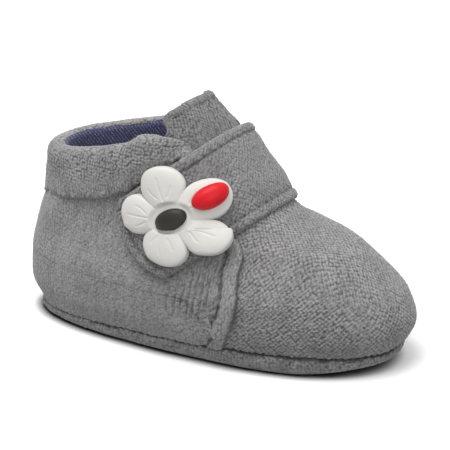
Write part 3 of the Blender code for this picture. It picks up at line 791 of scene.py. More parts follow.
def twill_finish():
    """Navy lining: fine diagonal ribs with paler flecks."""
    nodes = Nodes("navy_twill")
    nodes.set(Roughness=0.85, Sheen_Weight=0.15, Specular_IOR_Level=0.2)
    wave = nodes.add("TexWave", Scale=0.32 / (0.75 * MM), Distortion=0.6)
    wave.wave_type = "BANDS"
    wave.bands_direction = "DIAGONAL"
    nodes.link(nodes.position(), wave, "Vector")
    flecks = nodes.spread(nodes.noise(0.34 * MM, 2.0), 0.42, 0.62)
    ribs = nodes.math("MULTIPLY", wave.outputs["Fac"], flecks)
    nodes.colour(nodes.mix(ribs, TWILL_DARK, TWILL_LIGHT))
    nodes.bump(ribs, 0.15 * MM, 0.8)
    return Finish("navy_lining", nodes.material)


def rubber_finish(name, base, roughness, uneven):
    """Moulded soft plastic: a satin face with a faint grain."""
    nodes = Nodes(name)
    nodes.set(Specular_IOR_Level=0.25, Coat_Weight=0.04, Coat_Roughness=0.4)
    cloudy = nodes.spread(nodes.noise(5 * MM, 2.0), 0.3, 0.7)
    shaded = tuple(part * (1 - uneven) for part in base)
    nodes.colour(nodes.mix(cloudy, shaded, base))
    rough = nodes.spread(nodes.noise(1.2 * MM, 2.0), 0.3, 0.7, roughness - 0.05, roughness + 0.05)
    nodes.link(rough, nodes.shader, "Roughness")
    nodes.bump(nodes.noise(0.35 * MM, 2.0), 0.02 * MM, 0.5)
    return Finish(name, nodes.material)


# Vamp

def puckers(beat, pitch):
    """Puckers between stitches of this pitch, from 0 to 1."""
    return 0.5 + 0.5 * np.sin(2 * math.pi * beat / pitch)


def sole_puckers(u):
    return puckers(u + 0.6 * MM * drift((u, 0 * u), 6 * MM, 3), SOLE_STITCH)


def sole_seam(u, v):
    """The sole seam draws the cloth in, and puckers it between the stitches."""
    draw = -0.45 * MM * np.exp(-v / (0.5 * MM))
    return draw - 0.36 * MM * sole_puckers(u) * np.exp(-v / (1.6 * MM))


def seam_shade(u, v):
    """Dark in the seam, with a ragged upper edge."""
    width = 0.50 * MM * (1 + 0.7 * drift((u, 0 * u), 0.8 * MM, 4))
    depth = 0.60 + 0.30 * drift((u, 0 * u), 2.6 * MM, 5)
    return depth * bell(v, width)


def seam_rise(points):
    """How much the sole seam lies above its plain height, with a small wander."""
    x, y = points[..., 0], points[..., 1]
    return SEAM_RISE(x) + SEAM_WANDER * drift((x, y), 2.2 * MM, 2)


def upper_low(angle_at):
    """Height of the upper's lower edge in each column: the seam rises towards the toe."""
    return UPPER_LOW + seam_rise(form_point(angle_at(UPPER_LOW), UPPER_LOW))


def heights_behind(angle_at, first, plane):
    """Height at which each column meets a plane across the instep, found by closing in."""
    z = first
    for _ in range(6):
        z = height_on_plane(angle_at(z), plane)
    return z


def vamp_angles(columns):
    """A function that gives the angles of the vamp's columns at a height."""
    share = np.linspace(0, 1, columns)[None, :]

    def angle_at(z):
        lateral = edge_offset_angle(-1, VAMP_LAP, z)
        medial = edge_offset_angle(1, VAMP_LAP, z)
        return lateral + (medial - lateral) * share

    return angle_at


def make_vamp(finish):
    """The front of the upper, from the sole seam up to under the strap and the hems."""
    columns = int(VAMP_ROUND / FINE)
    angle_at = vamp_angles(columns)
    throat = np.full((1, columns), THROAT_HEIGHT)
    high = heights_behind(angle_at, throat, STRAP_FRONT_PLANE - 4 * MM)
    z = even_heights(angle_at, upper_low(angle_at), high, int(VAMP_UP / FINE))
    angle = angle_at(z)
    base = form_point(angle, z)
    u, v = cloth_coordinates(base)
    pile = woven(base, grid_normals(base), woven_pile, 20)
    instep = smooth_step((z - 24 * MM) / (13 * MM)) * smooth_step(1.6 - np.abs(angle))
    height = sole_seam(u, v) + stuffing(base) + INSTEP_SWELL * instep
    shade = seam_shade(u, v) + 0.4 * between(pile)
    cloth_piece("vamp", base, pile, LOOP_PILE, height, shade, finish, ["upper"])


# Quarters

Columns = namedtuple("Columns", "first share last behind out")


def quarter_columns(profile, spacing, length):
    """Columns round the heel from the medial hem to the lateral one. Both ends follow the
    profile, and behind is each column's distance from its front edge at the hems."""
    path = smooth_path([(point.run * MM, point.out * MM) for point in profile], spacing)
    start = path[-1, 0]
    field = np.linspace(0, 1, max(int(length / spacing), 8) + 1)[1:-1]
    full = np.full(field.shape, start)
    first = np.concatenate([path[:, 0], full, np.full(len(path), start)])
    last = np.concatenate([np.full(len(path), start), full, path[::-1, 0]])
    share = np.concatenate([np.zeros(len(path)), field, np.ones(len(path))])
    out = np.concatenate([path[:, 1], np.full(field.shape, path[-1, 1]), path[::-1, 1]])
    way = length * np.minimum(share, 1 - share)
    behind = np.minimum(first, last) + way
    return Columns(first[None], share[None], last[None], behind[None], out[None])


def column_angles(columns, z):
    first = edge_offset_angle(1, columns.first, z)
    last = edge_offset_angle(-1, columns.last, z) + 2 * math.pi
    return first + (last - first) * columns.share


def top_heights(columns):
    """Height of the quarters' top edge in each column, found by closing in on it."""
    z = np.full(columns.share.shape, THROAT_HEIGHT)
    for _ in range(6):
        z = cuff_foot(signed(column_angles(columns, z)))
    return z


def make_quarters(finish):
    """The back of the upper, from the sole seam to under the cuff, with hemmed fronts."""
    columns = quarter_columns(HEM_PROFILE, FINE, QUARTERS_ROUND)
    top = top_heights(columns)

    def angle_at(z):
        return column_angles(columns, z)

    rows = int(QUARTERS_UP / FINE)
    z = even_heights(angle_at, upper_low(angle_at), top + 1.2 * MM, rows)
    angle = angle_at(z)
    drawn_in = 0.70 + 0.30 * smooth_step((z - UPPER_LOW) / FEATHER_PULL)
    base = skin(angle, z, columns.out * drawn_in)
    u, v = cloth_coordinates(form_point(angle, z))
    normals = grid_normals(base)
    pile = woven(base, normals, combed_pile, 40)
    loops = woven(base, normals, looped_pile, 41)
    worked = smooth_step((base[..., 0] + 8 * MM) / (12 * MM)) * (base[..., 1] < 0)
    pile = pile + 0.8 * (loops - pile) * worked
    hem = smooth_step((HEM_WIDTH - columns.behind) / (0.6 * MM))
    from_groove = columns.behind - HEM_GROOVE
    pucker = puckers(v + 0.5 * MM * drift((v, 0 * v), 5 * MM, 9), HEM_STITCH)
    folds = creased(base) * (1 - hem)
    height = sole_seam(u, v) + stuffing(base) + folds + heel_tuck(base) + heel_fill(base)
    height = height - 0.25 * MM * pucker * bell(from_groove, 2.0 * MM)
    groove = 0.55 * bell(from_groove, 0.5 * MM)
    fold = 0.8 * bell(columns.behind, 0.35 * MM)
    shade = np.maximum(seam_shade(u, v) * seam_depth(base), np.maximum(groove, fold))
    shade = np.maximum(shade, 0.55 * np.clip(-folds / (0.40 * MM), 0, 1))
    pile = frayed(pile, 8)
    points = raised(base, pile, SHORT_PILE + (DEEP_PILE - SHORT_PILE) * worked, height)
    half = points.shape[1] // 2
    sides = (("quarter_medial", slice(0, half + 1)), ("quarter_lateral", slice(half, None)))
    for name, part in sides:
        values = cloth_values(pile[:, part], shade[:, part])
        mesh_piece(name, points[:, part], finish, ["upper"], values)


# Cuff

def wall_inside(behind):
    """Place of the upper's inner face: over the tongue's lap at the front, then the lining."""
    settled = smooth_step((behind - 3.5 * MM) / (4.0 * MM))
    return GAP + (-LINING_DEPTH - GAP) * settled


def cuff_heights(columns):
    """Where the cuff begins in each column, the angle there and how tall the cuff is."""
    foot = top_heights(columns)
    angle = signed(column_angles(columns, foot))
    return foot, angle, cuff_top(angle) - foot - GAP - CUFF_SETTLE * (1 - end_share(angle))


def make_cuff(finish):
    """The padded roll round the ankle, rounded off at its two front ends."""
    ends = (ProfilePoint("end", 0.0, 1.1), ProfilePoint("field", 14.0, 1.1))
    columns = quarter_columns(ends, FINE, CUFF_ROUND)
    foot, angle, tall = cuff_heights(columns)
    fullness = smooth_step(tall / (0.7 * CUFF_HEIGHT))
    seat = QUARTER_OUT + GAP
    thinned = 1 - CUFF_END_THIN * end_share(angle)
    swell = seat + (CUFF_OUT - seat) * (0.35 + 0.65 * fullness) * thinned
    inside = wall_inside(columns.behind)
    ended = np.clip(columns.behind / CUFF_END_ROUND, 0, 1)
    round_off = np.sqrt(np.clip(1 - (1 - ended) ** 2, 0, 1))
    scale = (CUFF_HEIGHT, CUFF_OUT + LINING_DEPTH)
    section = [(point.rise * scale[0], point.out * scale[1]) for point in CUFF_SECTION]
    path = smooth_path(section, FINE)
    rise, out = path[:, :1] / scale[0], path[:, 1:] / scale[1]
    middle = 0.5 * (inside + swell)
    outward = inside + (swell - inside) * out
    outward = middle + (outward - middle) * (0.10 + 0.90 * round_off)
    shrunk = 1 - 0.16 * (1 - round_off)
    height = foot + GAP + tall * rise * shrunk
    angles = column_angles(columns, height)
    base = skin(angles, height, outward + cuff_lean(angles, height))[::-1]
    u, v = cloth_coordinates(base)
    rise, out = rise[::-1], out[::-1]
    low_down = smooth_step((0.45 - rise) / 0.35) + 0 * u
    normals = grid_normals(base)
    loops = woven(base, normals, looped_pile, 60)
    pile = loops + (woven(base, normals, combed_pile, 61) - loops) * low_down
    rising = LOOP_PILE + (SHORT_PILE - LOOP_PILE) * low_down
    lip = bell(rise + 0.02, 0.05) * (out > 0.4)
    ragged = drift((u, v), 2.2 * MM, 64)
    folds = drift((u, 0.25 * v), 3.0 * MM, 65) * smooth_step((0.75 - rise) / 0.6)
    fringe = drift((u, 0.3 * v), 0.8 * MM, 66)
    lift = 1.3 * stuffing(base) + 0.22 * MM * folds
    lift = lift + (0.35 * ragged + 0.35 * fringe) * MM * lip
    shade = 0.8 * smooth_step((0.62 - out) / 0.2) * (rise < 0.2) + 0.6 * between(pile)
    cuff = cloth_piece("cuff_roll", base, pile, rising, lift, shade, finish, ["cuff"])


# Tongue

def lateral_lap(z):
    """How far the tongue reaches behind the lateral cuff's end: more, further down."""
    return 0.5 * TONGUE_LAP + TONGUE_WING * smooth_step((TONGUE_HEIGHT - 2 * MM - z) / (9 * MM))


def tongue_tuck(share, z):
    """The tongue's lateral side lies inside the cuff."""
    behind = lateral_lap(z) - share * TONGUE_WIDTH
    return -LINING_DEPTH * smooth_step((behind - 3.0 * MM) / (4.0 * MM))


def tongue_grid(rows, spacing, top_drop):
    """Angles and heights over the tongue, its top corners rounded down."""
    columns = int(TONGUE_WIDTH / spacing)
    share = np.linspace(0, 1, columns)[None, :]

    def angle_at(z):
        lateral = edge_offset_angle(-1, lateral_lap(z), z)
        medial = edge_offset_angle(1, TONGUE_LAP, z)
        return lateral + (medial - lateral) * share

    corner = np.clip((np.abs(2 * share - 1) - 0.62) / 0.38, 0, 1) ** 2.4
    crown = TONGUE_CROWN * (1 - (2 * share - 1) ** 2)
    top = TONGUE_HEIGHT - TONGUE_CORNER * corner + crown - top_drop
    throat = np.full((1, columns), THROAT_HEIGHT)
    low = heights_behind(angle_at, throat, STRAP_FRONT_PLANE - 5 * MM)
    z = even_heights(angle_at, low, top, rows)
    return angle_at(z), z, share


def make_tongue(velour, lining):
    """The padded tongue: velour outside and over its top edge, lining inside."""
    angle, z, share = tongue_grid(int(TONGUE_UP / FINE), FINE, 0.0)
    puff = TONGUE_PUFF * (1 - np.clip(np.abs(2 * share - 1) / 0.80, 0, 1) ** 6)
    near_top = np.clip(1 - (z[-1:] - z) / (1.6 * MM), 0, 1)
    thick = puff + TONGUE_THICK
    dome = np.sqrt(np.clip(1 - near_top**2, 0, 1))
    centre = 0.5 * (puff - TONGUE_THICK) + tongue_tuck(share, z)
    outer = skin(angle, z, centre + 0.5 * thick * dome)
    turned = int(TONGUE_TURNED / FINE)
    inner = skin(angle[-turned:], z[-turned:], (centre - 0.5 * thick * dome)[-turned:])[::-1]
    base = np.concatenate([outer, inner[1:]], axis=0)
    v = cloth_coordinates(base)[1]
    pile = woven(base, grid_normals(base), woven_pile, 80)
    shade = 0.32 + 0.26 * bell(v[-1:] - v, 0.5 * MM) + 1.1 * between(pile)
    height = stuffing(base)
    tongue = cloth_piece("tongue_pad", base, pile, LOOP_PILE, height, shade, velour, ["tongue"])
    angle, z, share = tongue_grid(int(TONGUE_LINING_UP / COARSE), COARSE, 4.0 * MM)
    edge = np.clip(1 - (z[-1:] - z) / (0.8 * MM), 0, 1)
    inside = tongue_tuck(share, z) - TONGUE_THICK + 0.05 * MM
    base = skin(angle, z, inside + 0.9 * MM * edge**2)[:, ::-1]
    mesh_piece("tongue_lining", base, lining, ["tongue"])


# Lining and insole

def make_lining(finish):
    """The twill inside the upper, up to the seam with the cuff, and inside the vamp."""
    ends = (ProfilePoint("end", 2.0, 1.1), ProfilePoint("field", 14.0, 1.1))
    columns = quarter_columns(ends, COARSE, LINING_ROUND)
    foot, _, tall = cuff_heights(columns)
    low = np.full(foot.shape, FEATHER_HEIGHT)

    def angle_at(z):
        return column_angles(columns, z)

    seam = foot + GAP + 0.96 * tall
    z = even_heights(angle_at, low, seam, int(LINING_UP / COARSE))
    edge = np.clip(1 - (z[-1:] - z) / (0.9 * MM), 0, 1)
    over_tongue = smooth_step((z - THROAT_HEIGHT + 6 * MM) / (6 * MM))
    inside = wall_inside(columns.behind) * over_tongue - LINING_DEPTH * (1 - over_tongue)
    base = skin(angle_at(z), z, inside + 0.8 * MM * edge**2 + cuff_lean(angle_at(z), z))
    ripple = 0.25 * MM * drift(tuple(np.moveaxis(base, -1, 0)), 9 * MM, 71)
    base = (base + grid_normals(base) * ripple[..., None])[:, ::-1]
    mesh_piece("lining_quarters", base, finish, ["upper"])

    columns = int(VAMP_ROUND / COARSE)
    vamp_angle = vamp_angles(columns)
    low, high = np.full((1, columns), FEATHER_HEIGHT), np.full((1, columns), THROAT_HEIGHT)
    z = even_heights(vamp_angle, low, high, int(VAMP_UP / COARSE))
    base = skin(vamp_angle(z), z, -LINING_DEPTH)[:, ::-1]
    mesh_piece("lining_vamp", base, finish, ["upper"])


def outline_points(angles, inset, z=FEATHER_HEIGHT):
    """Points of the sole's outline, moved inwards within its plane."""
    turn = 0.01
    along = form_point(angles + turn, z) - form_point(angles - turn, z)
    outward = unit(np.stack([along[..., 1], -along[..., 0], 0 * along[..., 0]], axis=-1))
    return form_point(angles, z) - outward * np.asarray(inset)[..., None]


def even_angles(count):
    """Angles that split the sole's outline into equal lengths."""
    angles = np.linspace(0, 2 * math.pi, 6 * count + 1)
    lengths = running_lengths(form_point(angles, FEATHER_HEIGHT)[:, None, :])[:, 0]
    return np.interp(np.linspace(0, lengths[-1], count + 1)[:-1], lengths, angles)


def make_insole(finish):
    """The footbed: a thin lined pad with a soft edge and a slight dish."""
    angles = even_angles(int(SOLE_ROUND / COARSE))[None, :]
    shares = np.concatenate([np.linspace(0.0, 1.0, 50), [1.0, 1.0]])[:, None]
    inset = LINING_DEPTH + 2.5 * GAP
    edge = outline_points(angles, np.full(angles.shape, inset))
    spine = np.stack([edge[..., 0], 0.1 * edge[..., 1], 0 * edge[..., 0]], axis=-1)
    spine[..., 0] = np.clip(spine[..., 0], -36 * MM, 36 * MM)
    points = spine + (edge - spine) * (shares**0.8)[..., None]
    low = SOLE_THICK + GAP
    top = low + INSOLE_THICK
    dish = -0.5 * MM * (1 - shares**2)
    soft = 0.9 * MM * np.clip((shares - 0.93) / 0.07, 0, 1) ** 2
    z = np.broadcast_to(top + dish - soft, points.shape[:2]).copy()
    z[-2:] = low + 0.5 * MM
    z[-1:] = low
    points[..., 2] = z
    mesh_piece("insole_pad", points[::-1], finish, ["insole"], wrap=True)


# Sole

def toe_spring(x):
    return TOE_SPRING * smooth_step((x - 0.28 * LENGTH) / (0.22 * LENGTH))


SolePoint = namedtuple("SolePoint", "name height outset")
SOLE_SECTION = (
    SolePoint("under_seam", 1.03, -2.0),
    SolePoint("seam", 1.01, -0.45),
    SolePoint("seam_edge", 0.94, 0.05),
    SolePoint("lip", 0.78, 0.35),
    SolePoint("side", 0.55, 0.25),
    SolePoint("side_low", 0.32, -0.30),
    SolePoint("turn", 0.12, -1.30),
    SolePoint("floor_edge", 0.01, -2.90),
    SolePoint("floor", 0.00, -4.40),
)


def make_outsole(finish):
    """The soft sole: a rolled velour band whose cloth runs on under the foot."""
    angles = even_angles(int(SOLE_ROUND / (1.25 * FINE)))[None, :]
    section = [(point.outset * MM, point.height * SOLE_THICK) for point in SOLE_SECTION]
    path = smooth_path(section, FINE)
    inward = np.linspace(0, 1, 26)[1:, None] ** 0.9
    rows = len(path) + len(inward)
    outset = np.concatenate([path[:, 0], np.full(len(inward), path[-1, 0])])[:, None]
    level = np.concatenate([path[:, 1], np.zeros(len(inward))])[:, None]
    seam = seam_rise(form_point(angles, FEATHER_HEIGHT))
    level = level * (1 + seam / SOLE_THICK)
    around = np.repeat(angles, rows, axis=0)
    edge = outline_points(around, -outset + 0 * around, np.maximum(level, FEATHER_HEIGHT))
    share = np.concatenate([np.ones((len(path), 1)), 1 - 0.995 * inward])
    spine = np.stack([np.clip(edge[..., 0], -36 * MM, 36 * MM), 0 * edge[..., 1]], axis=-1)
    base = np.empty(edge.shape)
    base[..., :2] = spine + (edge[..., :2] - spine) * share[..., None]
    base[..., 2] = level + toe_spring(base[..., 0]) * np.clip(1 - level / SOLE_THICK, 0, 1)
    base = base[::-1]
    climb = (level / (SOLE_THICK + seam))[::-1]
    u, v = cloth_coordinates(base)
    u = np.broadcast_to(u[-len(path) // 2], u.shape)
    pile = woven(base, grid_normals(base, True), looped_pile, 90)
    on_band = smooth_step((climb - 0.05) / 0.2)
    pucker = sole_puckers(u) * smooth_step((climb - 0.45) / 0.5)
    lumps = 0.22 * MM * drift((u, v), 4.0 * MM, 93) * on_band
    joint = bell(base[..., 0] - BAND_JOINT, 0.4 * MM) * (base[..., 1] < 0)
    height = lumps - 0.36 * MM * pucker - 0.4 * MM * joint
    ragged = 0.09 * drift((u, 0 * u), 1.1 * MM, 94)
    blotch = 0.16 * drift((u, v), 1.4 * MM, 95)
    dark = 0.55 * smooth_step((climb - 0.87 - ragged) / 0.08) * seam_depth(base)
    shade = 0.24 + blotch + dark
    # Painted contact shadow on the band's lowest rows, next to the floor
    shade = np.maximum(shade, smooth_step((0.30 - climb) / 0.24))
    shade = np.maximum(shade, 0.5 * joint)
    pile = frayed(pile, 9)
    full = 0.15 + 0.85 * on_band
    points = raised(base, pile, DEEP_PILE * full, height * full, True)
    points[..., 0] -= heel_tuck(points) * climb**0.5
    points[..., 2] = np.maximum(points[..., 2], 0.0)
    mesh_piece("sole_cloth", points, finish, ["outsole"], cloth_values(pile, shade), wrap=True)


# Strap

def strap_line(across):
    """Angles and running lengths along the strap at a place across its width. Lengths are
    negative on the lateral side and positive on the medial side."""
    angles = np.radians(np.linspace(-150, 150, 121))
    plane = STRAP_REAR_PLANE + 0.5 * STRAP_WIDTH + across
    points = form_point(angles, height_on_plane(angles, plane))
    lengths = running_lengths(points[:, None, :])[:, 0]
    return angles, lengths - lengths[60]


STRAP_PLACES = np.array([-0.75, -0.5, -0.25, 0.0, 0.25, 0.5, 0.75]) * STRAP_WIDTH
STRAP_LINES = [strap_line(place) for place in STRAP_PLACES]


def strap_point(distance, across, out):
    """Points over the form, placed by their distance along the strap and across it."""
    distance, across = np.broadcast_arrays(distance, across)
    on_lines = np.stack([np.interp(distance, lengths, angles) for angles, lengths in STRAP_LINES])
    i = np.clip(np.searchsorted(STRAP_PLACES, across) - 1, 0, len(STRAP_PLACES) - 2)
    share = (across - STRAP_PLACES[i]) / (STRAP_PLACES[i + 1] - STRAP_PLACES[i])
    first = np.take_along_axis(on_lines, i[None], axis=0)[0]
    second = np.take_along_axis(on_lines, i[None] + 1, axis=0)[0]
    angle = (1 - share) * first + share * second
    z = height_on_plane(angle, STRAP_REAR_PLANE + 0.5 * STRAP_WIDTH + across)
    return skin(angle, z, out)


def strap_end(across):
    """Length of the strap's lateral end, a shallow curve with rounded corners."""
    bulge = STRAP_END_BULGE * (1 - np.abs(2 * across / STRAP_WIDTH) ** 2.2)
    into = np.clip(np.abs(across) - (0.5 * STRAP_WIDTH - STRAP_CORNER), 0, STRAP_CORNER)
    corner = STRAP_CORNER - np.sqrt(np.clip(STRAP_CORNER**2 - into**2, 0, None))
    return STRAP_LATERAL + bulge + STRAP_END_SLANT * across - 0.8 * corner


def make_strap(finish):
    """The instep strap: bag-turned, so its edges swell into rolls inside a stitch groove."""
    half = 0.5 * STRAP_WIDTH
    profile = [(point.run * MM, point.out * MM) for point in STRAP_PROFILE]
    path = smooth_path(profile, FINE)
    across = np.concatenate([path[:, 0] - half, (half - path[:, 0])[::-1][1:]])[:, None]
    rise = np.concatenate([path[:, 1], path[::-1, 1][1:]])[:, None]
    end_path = smooth_path(profile[:-2], FINE)
    start = -strap_end(across)
    length = STRAP_MEDIAL + STRAP_LATERAL
    count = int((length - 2 * end_path[-1, 0]) / FINE)
    middle = np.linspace(0, 1, count)[None, 1:-1]
    first = start + end_path[None, :, 0]
    last = STRAP_MEDIAL - end_path[None, ::-1, 0] + 0 * across
    field = first[:, -1:] + (last[:, :1] - first[:, -1:]) * middle
    distance = np.concatenate([first, field, last], axis=1)
    end_rise = np.concatenate([end_path[:, 1], np.full(middle.shape[1], 9.0), end_path[::-1, 1]])
    out = np.minimum(rise, end_rise[None, :])
    at_front = smooth_step((across - 4 * MM) / (9 * MM)) * bell(distance, 24 * MM)
    out = out * (1 - STRAP_SETTLE * at_front)
    base = strap_point(distance, across + 0 * distance, out)[::-1]
    u, v = cloth_coordinates(base)
    pile = woven(base, grid_normals(base), woven_pile, 100, STRAP_PITCH)
    run = np.concatenate([path[:, 0], path[::-1, 0][1:]])[:, None] + 0 * distance
    end_run = np.concatenate([end_path[:, 0], np.full(middle.shape[1], 1.0), end_path[::-1, 0]])
    run = np.minimum(run, end_run[None, :])[::-1]
    from_groove = run - STRAP_GROOVE
    pucker = np.sin(2 * math.pi * (u + v) / STRAP_STITCH) * bell(from_groove, 1.4 * MM)
    height = 0.8 * stuffing(base) + 0.14 * MM * pucker
    low = smooth_step((1.4 * MM - out[::-1]) / (1.2 * MM))
    shade = np.maximum(0.17 + 0.28 * bell(from_groove, 0.4 * MM), 0.8 * low)
    cloth_piece("strap_band", base, pile, DEEP_PILE, height, shade, finish, ["strap"])


# Badge

BADGE_SEAT = STRAP_SEAT + 1.15 * STRAP_THICK + GAP


def badge_point(along, across, rise):
    """Points over the strap's face, placed from the badge's middle."""
    return strap_point(BADGE_ALONG + along, BADGE_ACROSS + across, BADGE_SEAT + rise)


def petal_lobe(turn):
    return np.abs(np.cos(0.5 * BADGE_PETALS * turn))


def petal_place(share, turn):
    """Places on the flower at a share of the petal's length in this direction."""
    reach = share * (0.60 + 0.40 * petal_lobe(turn) ** 0.62)
    return BADGE_ALONG_RADIUS * reach * np.cos(turn), BADGE_ACROSS_RADIUS * reach * np.sin(turn)


def petal_share(along, across):
    """The share and the turn of places on the flower: petal_place worked backwards."""
    along, across = along / BADGE_ALONG_RADIUS, across / BADGE_ACROSS_RADIUS
    turn = np.arctan2(across, along)
    return np.hypot(along, across) / (0.60 + 0.40 * petal_lobe(turn) ** 0.62), turn


def flower_top(along, across):
    """Height of the flower's face: puffed petals round a flat seat for the button."""
    share, turn = petal_share(along, across)
    puff = np.sqrt(np.clip(1 - share**4, 0, None)) * (0.72 + 0.28 * petal_lobe(turn))
    seat = BUTTON_LONG + GAP
    outside_seat = smooth_step((np.hypot(along, across) - seat) / (0.35 * seat))
    return BADGE_THICK * (0.30 + 0.70 * puff * outside_seat + 0.40 * (1 - outside_seat))


def petal_veins(share, turn):
    """Fine engraved lines: a middle vein and two bowed side veins on every petal."""
    swing = np.mod(turn * BADGE_PETALS / (2 * math.pi) + 0.5, 1.0) - 0.5
    wide = 2 * math.pi * BADGE_ACROSS_RADIUS * share / BADGE_PETALS
    total = np.zeros(share.shape)
    for bow, start, end in ((0.0, 0.36, 0.84), (0.24, 0.42, 0.74), (-0.24, 0.42, 0.74)):
        line = bow * np.sin(math.pi * (share - 0.25) / 0.9)
        off = np.abs(swing - line) * wide
        fade = smooth_step((share - start) / 0.05) * smooth_step((end - share) / 0.05)
        total = np.maximum(total, fade * bell(off, 0.22 * MM))
    return total


def make_flower(finish):
    """The flower's moulding: puffed petals with engraved veins and a rounded rim."""
    turn = np.linspace(0, 2 * math.pi, 301)[None, :-1]
    share = np.concatenate([np.linspace(0.004, 0.93, 72), np.linspace(0.94, 1.0, 12)])[:, None]
    along, across = petal_place(share, turn)
    veins = petal_veins(share + 0 * turn, turn + 0 * share)
    rise = flower_top(along, across) - 0.22 * MM * veins
    rim = petal_place(np.ones((1, 1)), turn)
    wall = np.linspace(1.0, -0.35, 9)[1:, None]
    along = np.concatenate([along, rim[0] + 0 * wall])
    across = np.concatenate([across, rim[1] + 0 * wall])
    rise = np.concatenate([rise, flower_top(*rim) * wall])
    points = badge_point(along, across, rise)[::-1]
    mesh_piece("flower_moulding", points, finish, ["badge_flower"], wrap=True, capped=True)


def make_dome(name, node, middle, axes, rise, finish):
    """A low round dome seated on the flower's face, with a soft edge."""
    turn = np.linspace(0, 2 * math.pi, 97)[None, :-1]
    swing = np.linspace(0, 0.5 * math.pi, 30)[:, None]
    share = np.maximum(np.concatenate([np.ones((3, 1)), np.cos(swing) ** 0.8]), 0.002)
    lift = np.concatenate([np.array([[-0.45], [-0.25], [-0.1]]), np.sin(swing) ** 0.9])
    along = middle[0] + share * axes[0] * np.cos(turn)
    across = middle[1] + share * axes[1] * np.sin(turn)
    rim = (middle[0] + axes[0] * np.cos(turn), middle[1] + axes[1] * np.sin(turn))
    foot = flower_top(*rim) + 0.6 * GAP
    crown = flower_top(*middle) + GAP + rise
    points = badge_point(along, across, foot + lift * (crown - foot))
    mesh_piece(name, points, finish, [node], wrap=True, capped=True)


# Stage

def make_floor():
    """A wide pale floor with a painted contact shadow, dark only close under the shoe."""
    mesh = bpy.data.meshes.new("floor")
    half = 0.5 * FLOOR_SIZE
    corners = [(-half, -half, 0), (half, -half, 0), (half, half, 0), (-half, half, 0)]
    mesh.from_pydata(corners, [], [(0, 1, 2, 3)])
    floor = add_object("floor", mesh)
    nodes = Nodes("floor_white")
    nodes.set(Roughness=1.0, Specular_IOR_Level=0.0, Emission_Strength=0.06)
    # An occlusion node paints the contact shadow into the floor's colour and faint glow, its
    # hemisphere tipped towards CONTACT_OPEN_SIDE
    contact = nodes.add("AmbientOcclusion", Distance=CONTACT_SHADOW)
    towards = nodes.add("CombineXYZ", **dict(zip("XYZ", CONTACT_OPEN_SIDE)))
    nodes.link(towards.outputs["Vector"], contact, "Normal")
    open_sky = nodes.spread(contact.outputs["AO"], 0.28, 0.84)
    tone = nodes.mix(open_sky, FLOOR_SHADED, FLOOR_WHITE)
    nodes.colour(tone)
    nodes.link(tone, nodes.shader, "Emission Color")
    mesh.materials.append(nodes.material)
    floor.visible_diffuse = False


def area_light(name, place, size, power):
    data = bpy.data.lights.new(name, "AREA")
    data.shape = "DISK"
    data.size = size
    data.energy = power
    light = add_object(name, data)
    light.location = place
    aim = VIEW_TARGET - Vector(place)
    light.rotation_euler = aim.to_track_quat("-Z", "Y").to_euler()


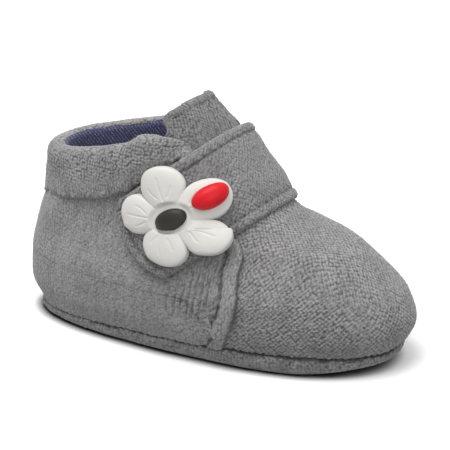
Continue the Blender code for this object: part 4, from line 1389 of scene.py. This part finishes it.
def make_light():
    """A white studio: even light from all round and a wide soft light from above."""
    world = bpy.data.worlds.new("studio")
    world.use_nodes = True
    tree = world.node_tree
    place = tree.nodes.new("ShaderNodeTexCoord")
    split = tree.nodes.new("ShaderNodeSeparateXYZ")
    tree.links.new(place.outputs["Generated"], split.inputs["Vector"])
    rise = tree.nodes.new("ShaderNodeMapRange")
    limits = (("From Max", 0.9), ("To Min", SKY_LOW), ("To Max", SKY_HIGH))
    for socket, value in limits:
        rise.inputs[socket].default_value = value
    tree.links.new(split.outputs["Z"], rise.inputs["Value"])
    tree.links.new(rise.outputs["Result"], tree.nodes["Background"].inputs["Strength"])
    tree.nodes["Background"].inputs["Color"].default_value = (1.0, 1.0, 1.0, 1.0)
    bpy.context.scene.world = world
    area_light("key", (-0.10, -0.30, 1.1), 0.8, KEY_POWER)
    area_light("fill", (0.9, -0.9, 0.6), 0.8, FILL_POWER)


def make_camera():
    """The camera at the photograph's angle."""
    data = bpy.data.cameras.new("photo_view")
    data.sensor_fit = "HORIZONTAL"
    data.sensor_width = 36.0
    data.lens = VIEW_LENS
    data.clip_start = 0.05
    camera = add_object("photo_view", data)
    level = math.cos(VIEW_ABOVE)
    aside, ahead = math.cos(VIEW_AROUND), math.sin(VIEW_AROUND)
    right = Vector((aside, ahead, 0))
    back = Vector((ahead * level, -aside * level, math.sin(VIEW_ABOVE)))
    turned = Matrix((right, back.cross(right), back)).transposed()
    camera.matrix_world = Matrix.Translation(VIEW_TARGET + VIEW_DISTANCE * back) @ turned.to_4x4()
    bpy.context.scene.camera = camera


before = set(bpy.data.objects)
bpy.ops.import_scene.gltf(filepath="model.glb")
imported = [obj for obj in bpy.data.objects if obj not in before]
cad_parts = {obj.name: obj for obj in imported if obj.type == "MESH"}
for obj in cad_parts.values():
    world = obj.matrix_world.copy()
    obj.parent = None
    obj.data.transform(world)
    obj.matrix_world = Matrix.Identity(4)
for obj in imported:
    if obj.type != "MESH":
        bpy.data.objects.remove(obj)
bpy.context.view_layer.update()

velour = velour_finish()
twill = twill_finish()
white = rubber_finish("white_rubber", WHITE, 0.45, 0.04)
charcoal = rubber_finish("charcoal_rubber", CHARCOAL, 0.45, 0.2)
red = rubber_finish("red_rubber", RED, 0.42, 0.08)

make_outsole(velour)
make_insole(twill)
make_lining(twill)
make_vamp(velour)
make_quarters(velour)
make_tongue(velour, twill)
make_cuff(velour)
make_strap(velour)
make_flower(white)
button_axes = (BUTTON_LONG, BUTTON_SHORT)
make_dome("button_dome", "badge_button", (0.0, 0.0), button_axes, BUTTON_RISE, charcoal)
berry_place = petal_place(BERRY_SHARE, BERRY_TURN)
berry_axes = (BERRY_RADIUS, BERRY_RADIUS)
make_dome("berry_dome", "badge_berry", berry_place, berry_axes, BERRY_RISE, red)

make_floor()
make_light()
make_camera()
bpy.context.scene.view_settings.view_transform = "Standard"
